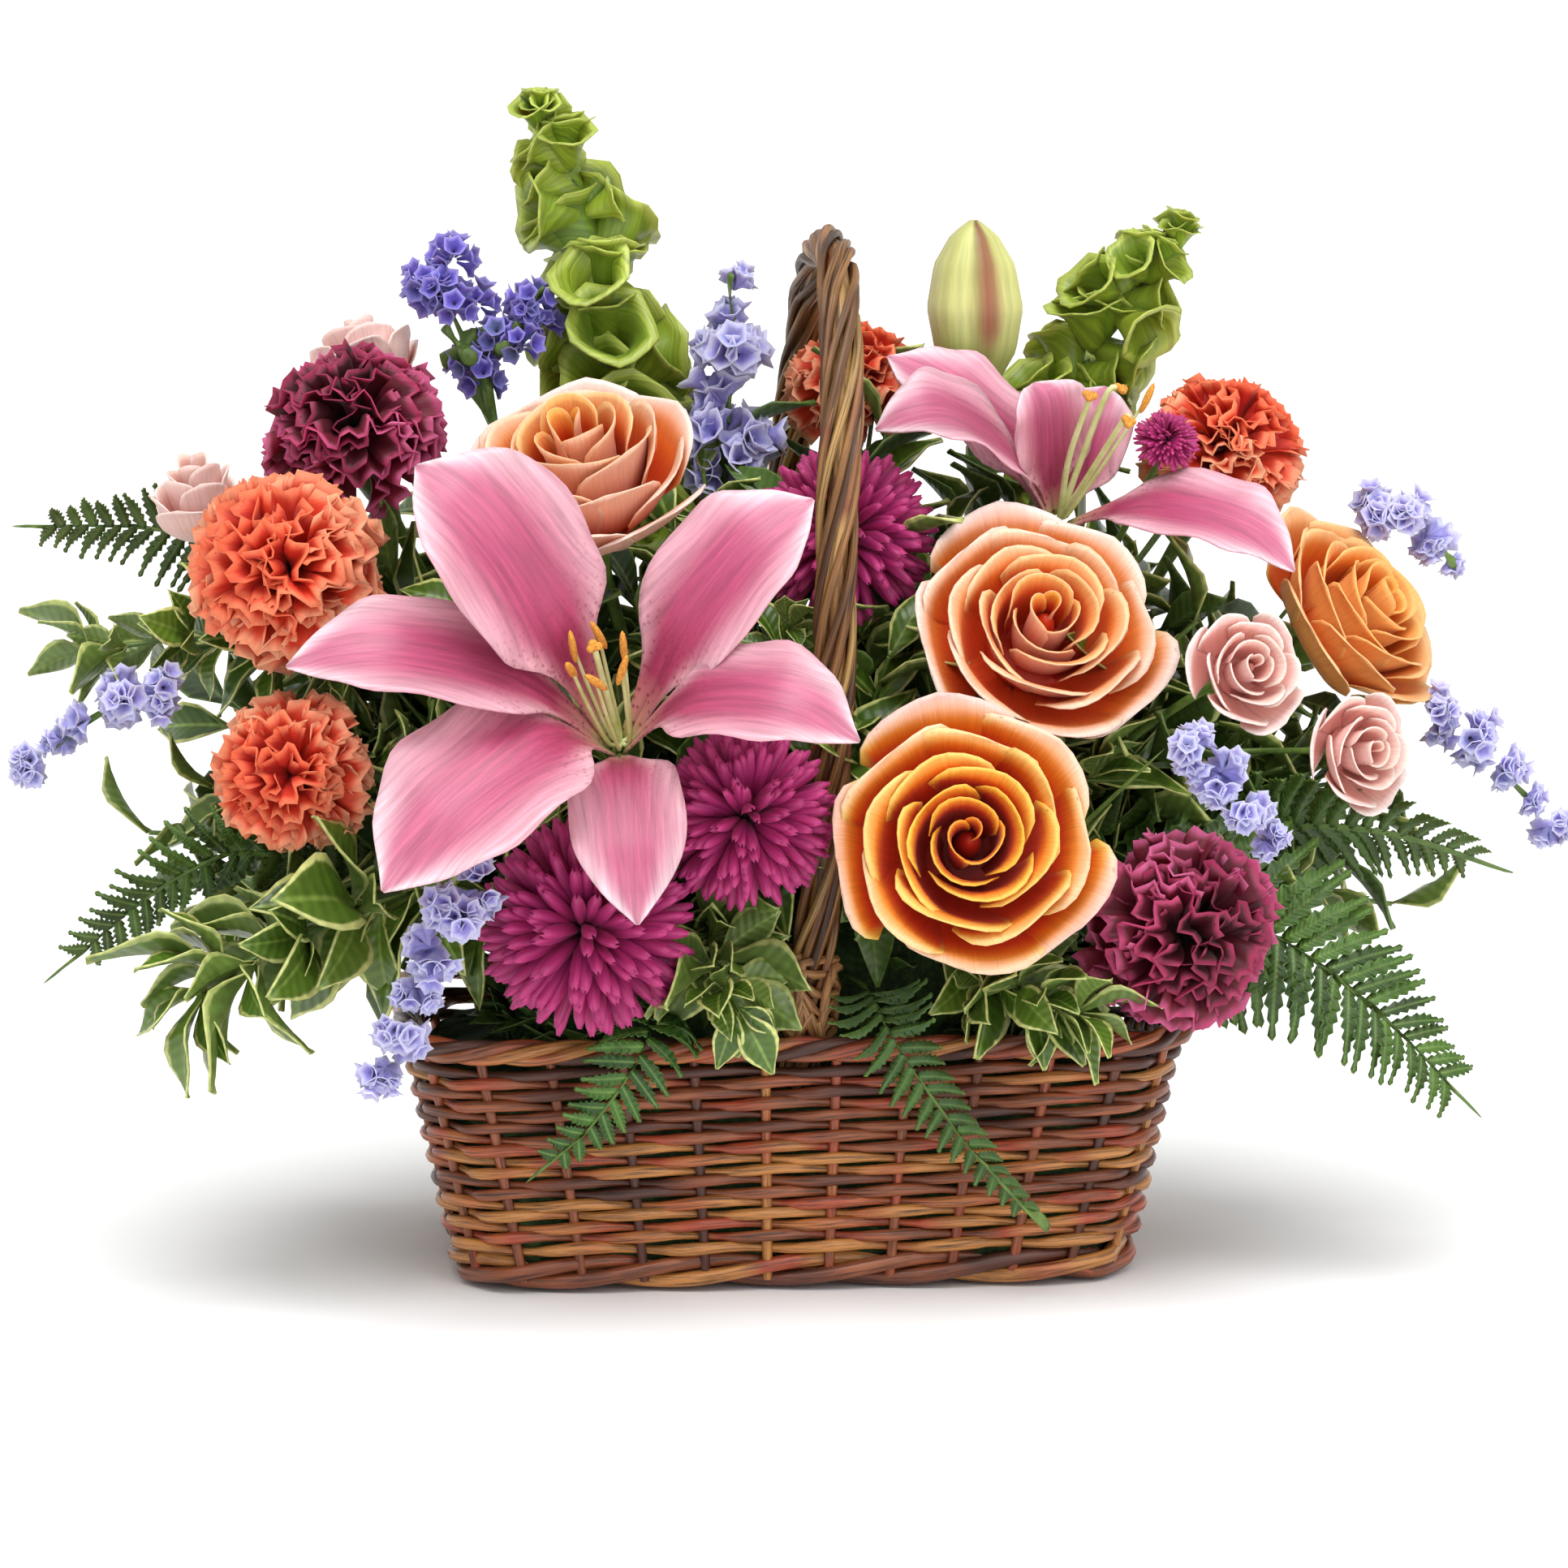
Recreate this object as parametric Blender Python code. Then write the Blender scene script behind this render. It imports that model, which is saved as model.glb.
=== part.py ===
"""Flower basket arrangement: a willow basket with a fixed handle, filled with cut flowers in floral foam.

Metres, +Z up, front towards -Y. The origin lies on the surface, under the middle of the basket's base.
Tables of sizes and places are in millimetres, and MM turns them to metres.
"""

import math

import bmesh
import bpy
import numpy as np
from mathutils import Matrix, Vector
from mathutils.bvhtree import BVHTree

MM = 0.001
UP = Vector((0, 0, 1))
GOLDEN = math.radians(137.508)  # the turn from one petal or leaf to the next

SEAT_GAP = 0.4 * MM  # between a bloom and its calyx, and round each stem in the foam
CLEARANCE = 0.4 * MM  # kept between a stem or leaf and its neighbours
PETAL = 0.8 * MM
TEPAL_CLEAR = 9 * MM  # how far from a lily's axis its tepals stay

# The basket, as half sizes of rounded rectangles
BASE_HALF = (117, 74)
RIM_HALF = (133, 86)
CORNER = 26
WALL_TOP = 79
WALL_THICK = 6.5
FLOOR_TOP = 6
WEAVE_ROWS = 11
STATIONS = 28  # one for each upright stake round the wall
ROD_BULGE = 1.8
WEAVE_SWING = 1.3  # how far a rod passes outside or inside a stake
RIM_RADIUS = 5.4

# The handle's line from its front foot to its back foot
HANDLE_RADIUS = 7.2
HANDLE_LINE = [
    (0, -60.6, 46), (1, -68.2, 88), (4, -73, 110), (8.5, -82, 160), (10.5, -87, 219), (12, -84, 272),
    (14.5, -66, 316), (15.5, -36, 340), (15.5, 0, 347), (14.5, 36, 341), (11.5, 66, 314), (8, 83, 268),
    (6, 86, 219), (5, 82, 160), (2, 73, 110), (1, 67.8, 88), (0, 60.6, 46),
]
BINDING_BOTTOM, BINDING_TOP = 84, 116

LINER_HALF = (93.4, 53.6)
LINER_THICK = 1.2
LINER_TOP = 76
FOAM_HALF = (91.6, 51.8)
FOAM_BOTTOM, FOAM_TOP = 8, 126
FOOT_LEVEL = 98  # where the stems end in the foam
FOOT_REACH = (78, 38)
FOOT_SPACING = 15

# Colours are linear RGB
WILLOW = (0.23, 0.085, 0.035)
HANDLE_WILLOW = (0.33, 0.16, 0.07)
PLASTIC = (0.02, 0.05, 0.025)
FOAM = (0.03, 0.12, 0.05)
PEACH = (0.95, 0.36, 0.12)
LILY_PINK = (0.72, 0.2, 0.3)
POLLEN = (0.8, 0.5, 0.12)
CORAL = (0.85, 0.13, 0.06)
BURGUNDY = (0.28, 0.01, 0.07)
MAGENTA = (0.42, 0.01, 0.16)
BLUSH = (0.85, 0.42, 0.4)
LAVENDER = (0.4, 0.34, 0.75)
LIME = (0.36, 0.5, 0.05)
FERN_GREEN = (0.07, 0.16, 0.03)
LEAF_GREEN = (0.16, 0.24, 0.06)
STEM_GREEN = (0.11, 0.2, 0.04)

# Blooms: face is the middle of what shows, facing the way it looks, rise how far its seat lies behind the face
ROSES = {
    "rose_front": dict(face=(51, -128, 161), facing=(-0.02, -0.95, 0.30), radius=49, tall=0.95, rise=24, layers=4, roll=20),
    "rose_right": dict(face=(81, -79, 227), facing=(0.12, -0.82, 0.55), radius=47, tall=0.95, rise=24, layers=3, roll=150),
    "rose_left": dict(face=(-75, -70, 292), facing=(-0.18, -0.55, 0.82), radius=44, tall=1.3, rise=42, layers=3, roll=80),
    "rose_far_right": dict(face=(199, -28, 226), facing=(0.66, -0.5, 0.56), radius=42, tall=1.05, rise=24, layers=3, roll=0),
}
SPRAY_ROSES = {
    "spray_rose_left": dict(face=(-200, -25, 270), facing=(-0.2, -0.15, 0.97), radius=19, tall=1.9, rise=20, layers=2, roll=0),
    "spray_rose_top": dict(face=(-146, 30, 312), facing=(-0.35, 0.25, 0.9), radius=24, tall=1.4, rise=18, layers=2, roll=40),
    "spray_rose_right_high": dict(face=(146, -98, 213), facing=(0.3, -0.9, 0.3), radius=23, tall=1.1, rise=12, layers=2, roll=10),
    "spray_rose_right_low": dict(face=(189, -74, 182), facing=(0.5, -0.84, 0.12), radius=23, tall=1.1, rise=12, layers=2, roll=70),
}
CARNATIONS = {
    "carnation_coral_left_high": dict(face=(-168, -66, 244), facing=(-0.4, -0.78, 0.48), radius=36, tint="coral", colour=CORAL),
    "carnation_coral_left_low": dict(face=(-167, -76, 178), facing=(-0.42, -0.9, 0.05), radius=29, tint="coral", colour=CORAL),
    "carnation_coral_right": dict(face=(153, 12, 274), facing=(0.4, -0.2, 0.9), radius=31, tint="coral", colour=CORAL),
    "carnation_coral_back": dict(face=(28, 40, 296), facing=(0.1, 0.05, 0.98), radius=27, tint="coral", colour=CORAL),
    "carnation_burgundy_left": dict(face=(-146, -18, 286), facing=(-0.3, -0.5, 0.8), radius=34, tint="burgundy", colour=BURGUNDY),
    "carnation_burgundy_right": dict(face=(124, -96, 125), facing=(0.35, -0.92, -0.05), radius=36, tint="burgundy", colour=BURGUNDY),
}
MUMS = {
    "mum_center": dict(face=(-20, -104, 166), facing=(-0.05, -0.97, 0.2), radius=31, turns=2, tint="magenta", colour=MAGENTA),
    "mum_low": dict(face=(-72, -104, 130), facing=(-0.1, -0.97, 0.0), radius=37, turns=2, tint="magenta", colour=MAGENTA),
    "mum_back": dict(face=(18, -38, 252), facing=(0.05, -0.85, 0.5), radius=32, turns=2, tint="magenta", colour=MAGENTA),
    "mum_small": dict(face=(129, -20, 281), facing=(0.2, -0.6, 0.75), radius=13, turns=1, tint="magenta", colour=MAGENTA),
}
SPRAY_STEMS = {
    "spray_rose_stem_left": ("spray_rose_top", "spray_rose_left"),
    "spray_rose_stem_right": ("spray_rose_right_high", "spray_rose_right_low"),
}
# Lilies: throat is where the tepals part, tips their ends, widths across the middle
LILIES = {
    "lily_front": dict(throat=(-60, -88, 186), facing=(-0.08, -0.72, 0.68), stamen=46, lean=(-0.2, -0.62, 0.78), tepals=[
        dict(tip=(-126, -112, 282), width=50, arch=0.42, recurve=0.05),
        dict(tip=(2, -108, 270), width=41, arch=0.42, recurve=0.1),
        dict(tip=(14, -146, 196), width=36, arch=0.5, recurve=0.3),
        dict(tip=(-168, -124, 219), width=36, arch=0.45, recurve=0.22),
        dict(tip=(-138, -150, 150), width=50, arch=0.5, recurve=0.2),
        dict(tip=(-57, -148, 138), width=34, arch=0.42, recurve=0.35),
    ]),
    "lily_back": dict(throat=(94, -8, 250), facing=(0.08, -0.56, 0.82), stamen=58, lean=(0.34, -0.52, 0.8), tepals=[
        dict(tip=(27, -50, 288), width=36, arch=0.42, recurve=0.35),
        dict(tip=(36, 6, 309), width=34, arch=0.35, recurve=0.1),
        dict(tip=(84, -14, 301), width=30, arch=0.3, recurve=0.08),
        dict(tip=(112, 10, 298), width=26, arch=0.25, recurve=0.1),
        dict(tip=(168, -54, 240), width=36, arch=0.3, recurve=0.25),
    ]),
}
LILY_BUD = dict(base=(68, 30, 290), tip=(78, 26, 347), radius=17)

# Sprays: line runs along what shows, from where it leaves the flowers to its tip
STATICE = {
    "statice_upper_left": dict(line=[(-100, 27, 288), (-104, 26, 303)], rows=1, width=6, heads=[
        dict(at=(-119, 25, 337), radius=12), dict(at=(-112, 22, 314), radius=9),
        dict(at=(-93, 25, 316), radius=8), dict(at=(-84, 28, 328), radius=8)]),
    "statice_back": dict(line=[(-18, 20, 268), (-15, 20, 332)], width=15, rows=7),
    "statice_left": dict(line=[(-205, -42, 200), (-232, -46, 194), (-258, -48, 174)], width=10, rows=5),
    "statice_low_left": dict(line=[(-104, -124, 150), (-124, -128, 124), (-140, -124, 82)], width=11, rows=6),
    "statice_right_high": dict(line=[(200, 6, 251), (216, 4, 249), (235, 2, 238)], width=11, rows=4),
    "statice_right": dict(line=[(216, -24, 188), (242, -26, 170), (268, -26, 144)], width=10, rows=5),
    "statice_right_mid": dict(line=[(116, -124, 192), (134, -128, 178), (152, -124, 155)], width=10, rows=4),
}
BELLS = {
    "bells_of_ireland_left": dict(line=[(-50, 42, 262), (-58, 41, 306), (-65, 40, 350), (-74, 39, 376), (-89, 38, 398)], levels=9, width=16),
    "bells_of_ireland_right": dict(line=[(92, 50, 270), (108, 48, 300), (126, 44, 330), (149, 42, 352)], levels=7, width=13),
}
FERNS = {
    "fern_right": dict(line=[(108, -46, 126), (150, -64, 124), (192, -76, 96), (231, -78, 56)], across=(0.7, 0.1, 0.7), pairs=9, reach=47),
    "fern_right_high": dict(line=[(140, -34, 148), (196, -50, 152), (245, -50, 136)], across=(0.3, -0.55, 0.75), pairs=7, reach=34),
    "fern_front_right": dict(line=[(24, -76, 102), (28, -99, 93), (50, -102, 60), (81, -98, 24)], across=(0.9, 0, 0.4), pairs=7, reach=22),
    "fern_front_left": dict(line=[(-50, -76, 101), (-52, -99, 92), (-68, -101, 66), (-93, -97, 43)], across=(0.6, 0, -0.8), pairs=7, reach=22),
    "fern_left_high": dict(line=[(-170, 6, 238), (-215, 6, 251), (-263, -12, 254)], across=(0, -0.25, 1), pairs=7, reach=26),
    "fern_left_low": dict(line=[(-130, -40, 130), (-190, -52, 148), (-253, -50, 103)], across=(0.3, -0.4, 0.85), pairs=8, reach=30),
    "fern_back_left": dict(line=[(-56, 60, 132), (-92, 92, 176), (-128, 108, 232)], across=(0.85, 0, 0.5), pairs=7, reach=58),
    "fern_back_right": dict(line=[(60, 60, 132), (92, 90, 180), (122, 102, 236)], across=(-0.85, 0, 0.5), pairs=7, reach=58),
}
PITTOSPORUM = {
    "pittosporum_left": dict(line=[(-140, -26, 206), (-196, -28, 217), (-244, -28, 212)], leaves=10, length=38),
    "pittosporum_left_low": dict(line=[(-118, -66, 138), (-164, -86, 126), (-204, -94, 106)], leaves=11, length=54),
    "pittosporum_front_left": dict(line=[(-30, -74, 122), (-28, -98, 113), (-22, -112, 102)], leaves=8, length=38),
    "pittosporum_front_right": dict(line=[(60, -72, 110), (76, -98, 104), (92, -108, 98)], leaves=9, length=38),
    "pittosporum_center": dict(line=[(0, -36, 186), (-6, -60, 206), (-2, -66, 230)], leaves=7, length=30, branches=[
        dict(line=[(-2, -44, 194), (22, -34, 214), (44, -26, 240)], leaves=6, length=34),
        dict(line=[(-3, -44, 193), (50, -52, 172), (118, -70, 172)], leaves=6, length=44)]),
    "pittosporum_back": dict(line=[(-24, 64, 146), (-30, 90, 180), (-14, 106, 236)], leaves=9, length=50, branches=[
        dict(line=[(-28, 76, 160), (-54, 98, 152), (-88, 110, 136)], leaves=4, length=50),
        dict(line=[(-29, 86, 174), (18, 114, 160), (72, 116, 142)], leaves=5, length=50)]),
}

obstacles = []  # (node name, search tree) of everything that later stems and leaves keep clear of
stem_feet = []  # for each stem the rings of points nearest its foot, foot first, for its hole in the foam


# ---------------------------------------------------------------- lines and closed shapes

def metres(points):
    return [Vector(p) * MM for p in points]


def smooth_line(points, count):
    """count points evenly along the smooth curve through the given points."""
    ends = [2 * points[0] - points[1], *points, 2 * points[-1] - points[-2]]
    fine = []
    for a, b, c, d in zip(ends, ends[1:], ends[2:], ends[3:]):
        for step in range(12):
            t = step / 12
            fine.append(0.5 * (2 * b + (c - a) * t + (2 * a - 5 * b + 4 * c - d) * t * t
                               + (3 * b - a - 3 * c + d) * t ** 3))
    fine.append(points[-1].copy())
    lengths = np.concatenate([[0], np.cumsum([(q - p).length for p, q in zip(fine, fine[1:])])])
    wanted = np.linspace(0, lengths[-1], count)
    table = np.array(fine)
    return [Vector([np.interp(w, lengths, table[:, axis]) for axis in range(3)]) for w in wanted]


def facing_axes(facing, roll=0.0):
    """A bloom's right, up and facing directions; roll turns the first two about the third."""
    n = Vector(facing).normalized()
    right = UP.cross(n)
    right = right.normalized() if right.length > 0.05 else Vector((1, 0, 0))
    up = n.cross(right)
    turn = math.radians(roll)
    return right * math.cos(turn) + up * math.sin(turn), up * math.cos(turn) - right * math.sin(turn), n


def placed(shape, origin, axes):
    """The shape with its own X, Y and Z turned to the three axes and its zero moved to origin."""
    points, faces = shape
    turn = Matrix(axes).transposed()
    return [origin + turn @ Vector(p) for p in points], faces


def rings_along(line, radii, sides, side=None, lobes=0.0, twist=0.0, start=0.0, plain=0):
    """Rings of points round a line, anticlockwise about its direction.

    lobes draws in every second point. twist turns each ring after the first plain ones.
    """
    rings = []
    side = side or (line[1] - line[0]).orthogonal()
    for k, (p, radius) in enumerate(zip(line, radii)):
        along = (line[min(k + 1, len(line) - 1)] - line[max(k - 1, 0)]).normalized()
        side = (side - along * side.dot(along)).normalized()
        other = along.cross(side)
        rings.append([p + (side * math.cos(a) + other * math.sin(a)) * radius * (1 - lobes * (j % 2))
                      for j, a in enumerate(start + twist * max(0, k - plain) + 2 * math.pi * j / sides for j in range(sides))])
    return rings


def tube(line, radii, sides, side=None, lobes=0.0, twist=0.0):
    return stacked_rings(rings_along(line, radii, sides, side, lobes, twist))


def grow(points, faces, number, rings, tip=None, crest=None):
    """Draws a face out through rings of as many points, to a tip point, a wavy crest of three, or a flat end."""
    last = list(faces[number])
    faces[number] = None
    count = len(last)
    for ring in rings:
        new = list(range(len(points), len(points) + count))
        points += ring
        for j in range(count):
            a, b, c, d = last[j], last[(j + 1) % count], new[(j + 1) % count], new[j]
            faces += [(a, b, c), (a, c, d)] if j < count / 2 else [(a, b, d), (b, c, d)]
        last = new
    if tip is not None:
        points.append(tip)
        faces += [(last[j], last[(j + 1) % count], len(points) - 1) for j in range(count)]
    elif crest is not None:
        left, middle, right = range(len(points), len(points) + 3)
        points += crest
        a, b, c, d = last
        faces += [(a, b, middle), (b, right, middle), (a, middle, left), (c, d, middle), (d, left, middle),
                  (c, middle, right), (b, c, right), (d, a, left)]
    else:
        faces.append(tuple(last))


def section(center, u, w, half_u, half_w):
    """A four-cornered ring, in the order of a stalk's faces: u runs round the stalk and w along it."""
    return [center - u * half_u - w * half_w, center + u * half_u - w * half_w,
            center + u * half_u + w * half_w, center - u * half_u + w * half_w]


def stalk(line, radii, sides=3, side=None, twist=0.0):
    """A tube with its faces in rows from its root, so that leaves can be drawn out of them."""
    return stacked_rings(rings_along(line, radii, sides, side, 0, twist, -math.pi / sides, 2))


def face_frame(points, face):
    """The middle of a stalk's quad, the direction out of it, and its u and w directions."""
    a, b, c, d = (points[i] for i in face)
    middle = (a + b + c + d) / 4
    w = (d + c - a - b).normalized()
    u = (b + c - a - d)
    u = (u - w * u.dot(w)).normalized()
    return middle, u.cross(w), u, w


# ---------------------------------------------------------------- objects

def material(name, colour, roughness):
    made = bpy.data.materials.new(name)
    made.use_nodes = True
    surface = made.node_tree.nodes["Principled BSDF"]
    surface.inputs["Base Color"].default_value = (*colour, 1)
    surface.inputs["Roughness"].default_value = roughness
    surface.inputs["Metallic"].default_value = 0
    made.diffuse_color = (*colour, 1)
    return made


def loose_object(shape, collection):
    points, faces = shape
    mesh = bpy.data.meshes.new("shape")
    mesh.from_pydata(points, [], faces)
    made = bpy.data.objects.new("shape", mesh)
    collection.objects.link(made)
    return made


def joined(shapes, cut=()):
    """One mesh from closed shapes that overlap, less the shapes in cut."""
    scene = bpy.context.scene.collection
    groups = []
    base = loose_object(shapes[0], scene)
    for operation, members in (("UNION", shapes[1:]), ("DIFFERENCE", cut)):
        if not members:
            continue
        group = bpy.data.collections.new(operation.lower())
        scene.children.link(group)
        groups.append(group)
        for shape in members:
            loose_object(shape, group)
        step = base.modifiers.new(operation.lower(), "BOOLEAN")
        step.operation = operation
        step.operand_type = "COLLECTION"
        step.collection = group
        step.solver = "MANIFOLD"
    bpy.context.view_layer.update()
    graph = bpy.context.evaluated_depsgraph_get()
    mesh = bpy.data.meshes.new_from_object(base.evaluated_get(graph))
    for group in groups:
        for member in list(group.objects):
            bpy.data.objects.remove(member)
        bpy.data.collections.remove(group)
    bpy.data.objects.remove(base)
    return mesh


def signed_size(body):
    return sum(f.calc_center_median().dot(f.normal) * f.calc_area() for f in body)


def keep_outer_body(mesh):
    """Leaves only the largest closed body: sealed hollows are filled and loose scraps are dropped."""
    work = bmesh.new()
    work.from_mesh(mesh)
    unseen, bodies = set(work.faces), []
    while unseen:
        body, edge = set(), [unseen.pop()]
        while edge:
            face = edge.pop()
            body.add(face)
            for side in face.edges:
                for other in side.link_faces:
                    if other in unseen:
                        unseen.remove(other)
                        edge.append(other)
        bodies.append(body)
    bodies.sort(key=signed_size)
    dropped = [face for body in bodies[:-1] for face in body]
    bmesh.ops.delete(work, geom=dropped, context="FACES")
    loose = [v for v in work.verts if not v.link_faces]
    bmesh.ops.delete(work, geom=loose, context="VERTS")
    bmesh.ops.triangulate(work, faces=work.faces)
    work.to_mesh(mesh)
    work.free()


def add_node(name, shapes, finish, colour, roughness=0.55, cut=()):
    """One named object: the shapes joined in a single closed body, with its own material."""
    mesh = joined(shapes, cut)
    keep_outer_body(mesh)
    mesh.shade_smooth()
    mesh.set_sharp_from_angle(angle=math.radians(35))
    mesh.materials.clear()
    mesh.materials.append(material(f"{finish} of {name}", colour, roughness))
    mesh.name = name
    made = bpy.data.objects.new(name, mesh)
    bpy.context.scene.collection.objects.link(made)
    obstacles.append((name, tree_of(([v.co for v in mesh.vertices], [tuple(f.vertices) for f in mesh.polygons]))))
    return made


def tree_of(shape):
    return BVHTree.FromPolygons(shape[0], shape[1])


def blockers(shape):
    """Names of the finished nodes that the shape crosses."""
    tree = tree_of(shape)
    return [name for name, other in obstacles if other.overlap(tree)]


# ---------------------------------------------------------------- basket

def rounded_rectangle(half, count, corner=CORNER * MM):
    """count (point, outward direction) pairs, evenly round a rectangle with round corners, anticlockwise."""
    hx, hy = half
    runs = [2 * (hy - corner), math.pi / 2 * corner, 2 * (hx - corner), math.pi / 2 * corner]
    total = 2 * sum(runs)
    found = []
    for k in range(count):
        s = total * k / count
        flip = 1
        if s >= total / 2:
            s, flip = s - total / 2, -1
        if s < runs[0]:
            point, out = Vector((hx, -hy + corner + s, 0)), Vector((1, 0, 0))
        elif s < sum(runs[:2]):
            out = Vector((math.cos((s - runs[0]) / corner), math.sin((s - runs[0]) / corner), 0))
            point = Vector((hx - corner, hy - corner, 0)) + out * corner
        elif s < sum(runs[:3]):
            point, out = Vector((hx - corner - (s - sum(runs[:2])), hy, 0)), Vector((0, 1, 0))
        else:
            turn = math.pi / 2 + (s - sum(runs[:3])) / corner
            out = Vector((math.cos(turn), math.sin(turn), 0))
            point = Vector((-hx + corner, hy - corner, 0)) + out * corner
        found.append((point * flip, out * flip))
    return found


def stacked_rings(rings):
    """A closed shape from rings of points, each with the same count, and flat at both ends."""
    count = len(rings[0])
    points = [p for ring in rings for p in ring]
    faces = []
    for k in range(len(rings) - 1):
        for j in range(count):
            a, b = k * count + j, k * count + (j + 1) % count
            faces.append((a, b, b + count, a + count))
    last = (len(rings) - 1) * count
    faces += [tuple(range(count - 1, -1, -1)), tuple(range(last, last + count))]
    return points, faces


def wall_half(height):
    share = height / WALL_TOP
    return [(b + (r - b) * share) * MM for b, r in zip(BASE_HALF, RIM_HALF)]


def basket_wall():
    """Woven wall and base: each row of rod swells and swings outside one stake and inside the next."""
    rings = []
    row_height = WALL_TOP / WEAVE_ROWS
    for row in range(WEAVE_ROWS):
        for share, swell in ((0.06, 0.0), (0.55, ROD_BULGE)):
            height = (row + share) * row_height if row or swell else 0.0
            ring = []
            for k, (point, out) in enumerate(rounded_rectangle(wall_half(height), STATIONS)):
                swing = WEAVE_SWING * (-1) ** (k + row) if swell else 0.0
                foot = 2.0 if row == 0 else 0.0
                ring.append(point + out * (swell + swing + foot - 3.0) * MM + UP * height * MM)
            rings.append(ring)
    rings.append([p + o * -2.0 * MM + UP * WALL_TOP * MM for p, o in rounded_rectangle(wall_half(WALL_TOP), STATIONS)])
    for height in (WALL_TOP, FLOOR_TOP):
        inner = [half - WALL_THICK * MM for half in wall_half(height)]
        rings.append([p + UP * height * MM for p, _ in rounded_rectangle(inner, STATIONS, (CORNER - 6) * MM)])
    return stacked_rings(rings)


def rim_border():
    """The rope-like border that closes the top of the wall, as a twisted three-lobed ring."""
    sides, points, faces = 6, [], []
    level = (WALL_TOP + 0.4 + RIM_RADIUS) * MM
    around = rounded_rectangle([h * MM for h in RIM_HALF], STATIONS)
    for k, (point, out) in enumerate(around):
        for j in range(sides):
            angle = 2 * math.pi * j / sides + math.radians(60) * k
            reach = RIM_RADIUS * MM * (1 - 0.14 * (j % 2))
            points.append(point + UP * level + out * (-2 * MM + reach * math.cos(angle)) + UP * reach * math.sin(angle))
    for k in range(STATIONS):
        after = (k + 1) % STATIONS
        for j in range(sides):
            a, b = k * sides + j, k * sides + (j + 1) % sides
            c, d = after * sides + (j + 1) % sides, after * sides + j
            faces += [(a, b, c), (a, c, d)]
    return points, [f[::-1] for f in faces]


def handle_shape():
    line = smooth_line(metres(HANDLE_LINE), 25)
    return tube(line, [HANDLE_RADIUS * MM] * len(line), 6, lobes=0.12, twist=math.radians(30))


def binding_shape(front):
    """A ribbed sleeve of wound cane round one foot of the handle, with a gap to the willow inside it."""
    line = [p for p in smooth_line(metres(HANDLE_LINE), 200) if (p.y < 0) == front]
    line = [p for p in line if BINDING_BOTTOM * MM <= p.z <= BINDING_TOP * MM]
    if not front:
        line.reverse()
    line = smooth_line([line[0], line[len(line) // 2], line[-1]], 6)
    inner = (HANDLE_RADIUS + 2) * MM
    outer = tube(line, [inner + (2.2 if k % 2 else 1.3) * MM for k in range(6)], 7)
    along = (line[-1] - line[0]).normalized() * 4 * MM
    bore = tube([line[0] - along, line[2], line[-1] + along], [inner] * 3, 7)
    return outer, bore


def box_tray(half, low, high, count=12, corner=14):
    rings = [[p + UP * z * MM for p, _ in rounded_rectangle([h * MM for h in half], count, corner * MM)]
             for z in (low, high)]
    return stacked_rings(rings)


def build_basket():
    add_node("basket", [basket_wall()], "willow weave", WILLOW, 0.5)
    add_node("basket_rim", [rim_border()], "willow border", WILLOW, 0.5)
    add_node("handle", [handle_shape()], "willow handle", HANDLE_WILLOW, 0.5)
    for name, front in (("handle_binding_front", True), ("handle_binding_back", False)):
        sleeve, bore = binding_shape(front)
        add_node(name, [sleeve], "cane binding", HANDLE_WILLOW, 0.5, cut=[bore])
    inside = [h - LINER_THICK for h in LINER_HALF]
    low = FLOOR_TOP + 0.4
    add_node("liner", [box_tray(LINER_HALF, low, LINER_TOP)], "liner plastic", PLASTIC, 0.4,
             cut=[box_tray(inside, low + LINER_THICK, LINER_TOP + 5)])


# ---------------------------------------------------------------- blooms, in their own frame: +Z is the facing

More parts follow.
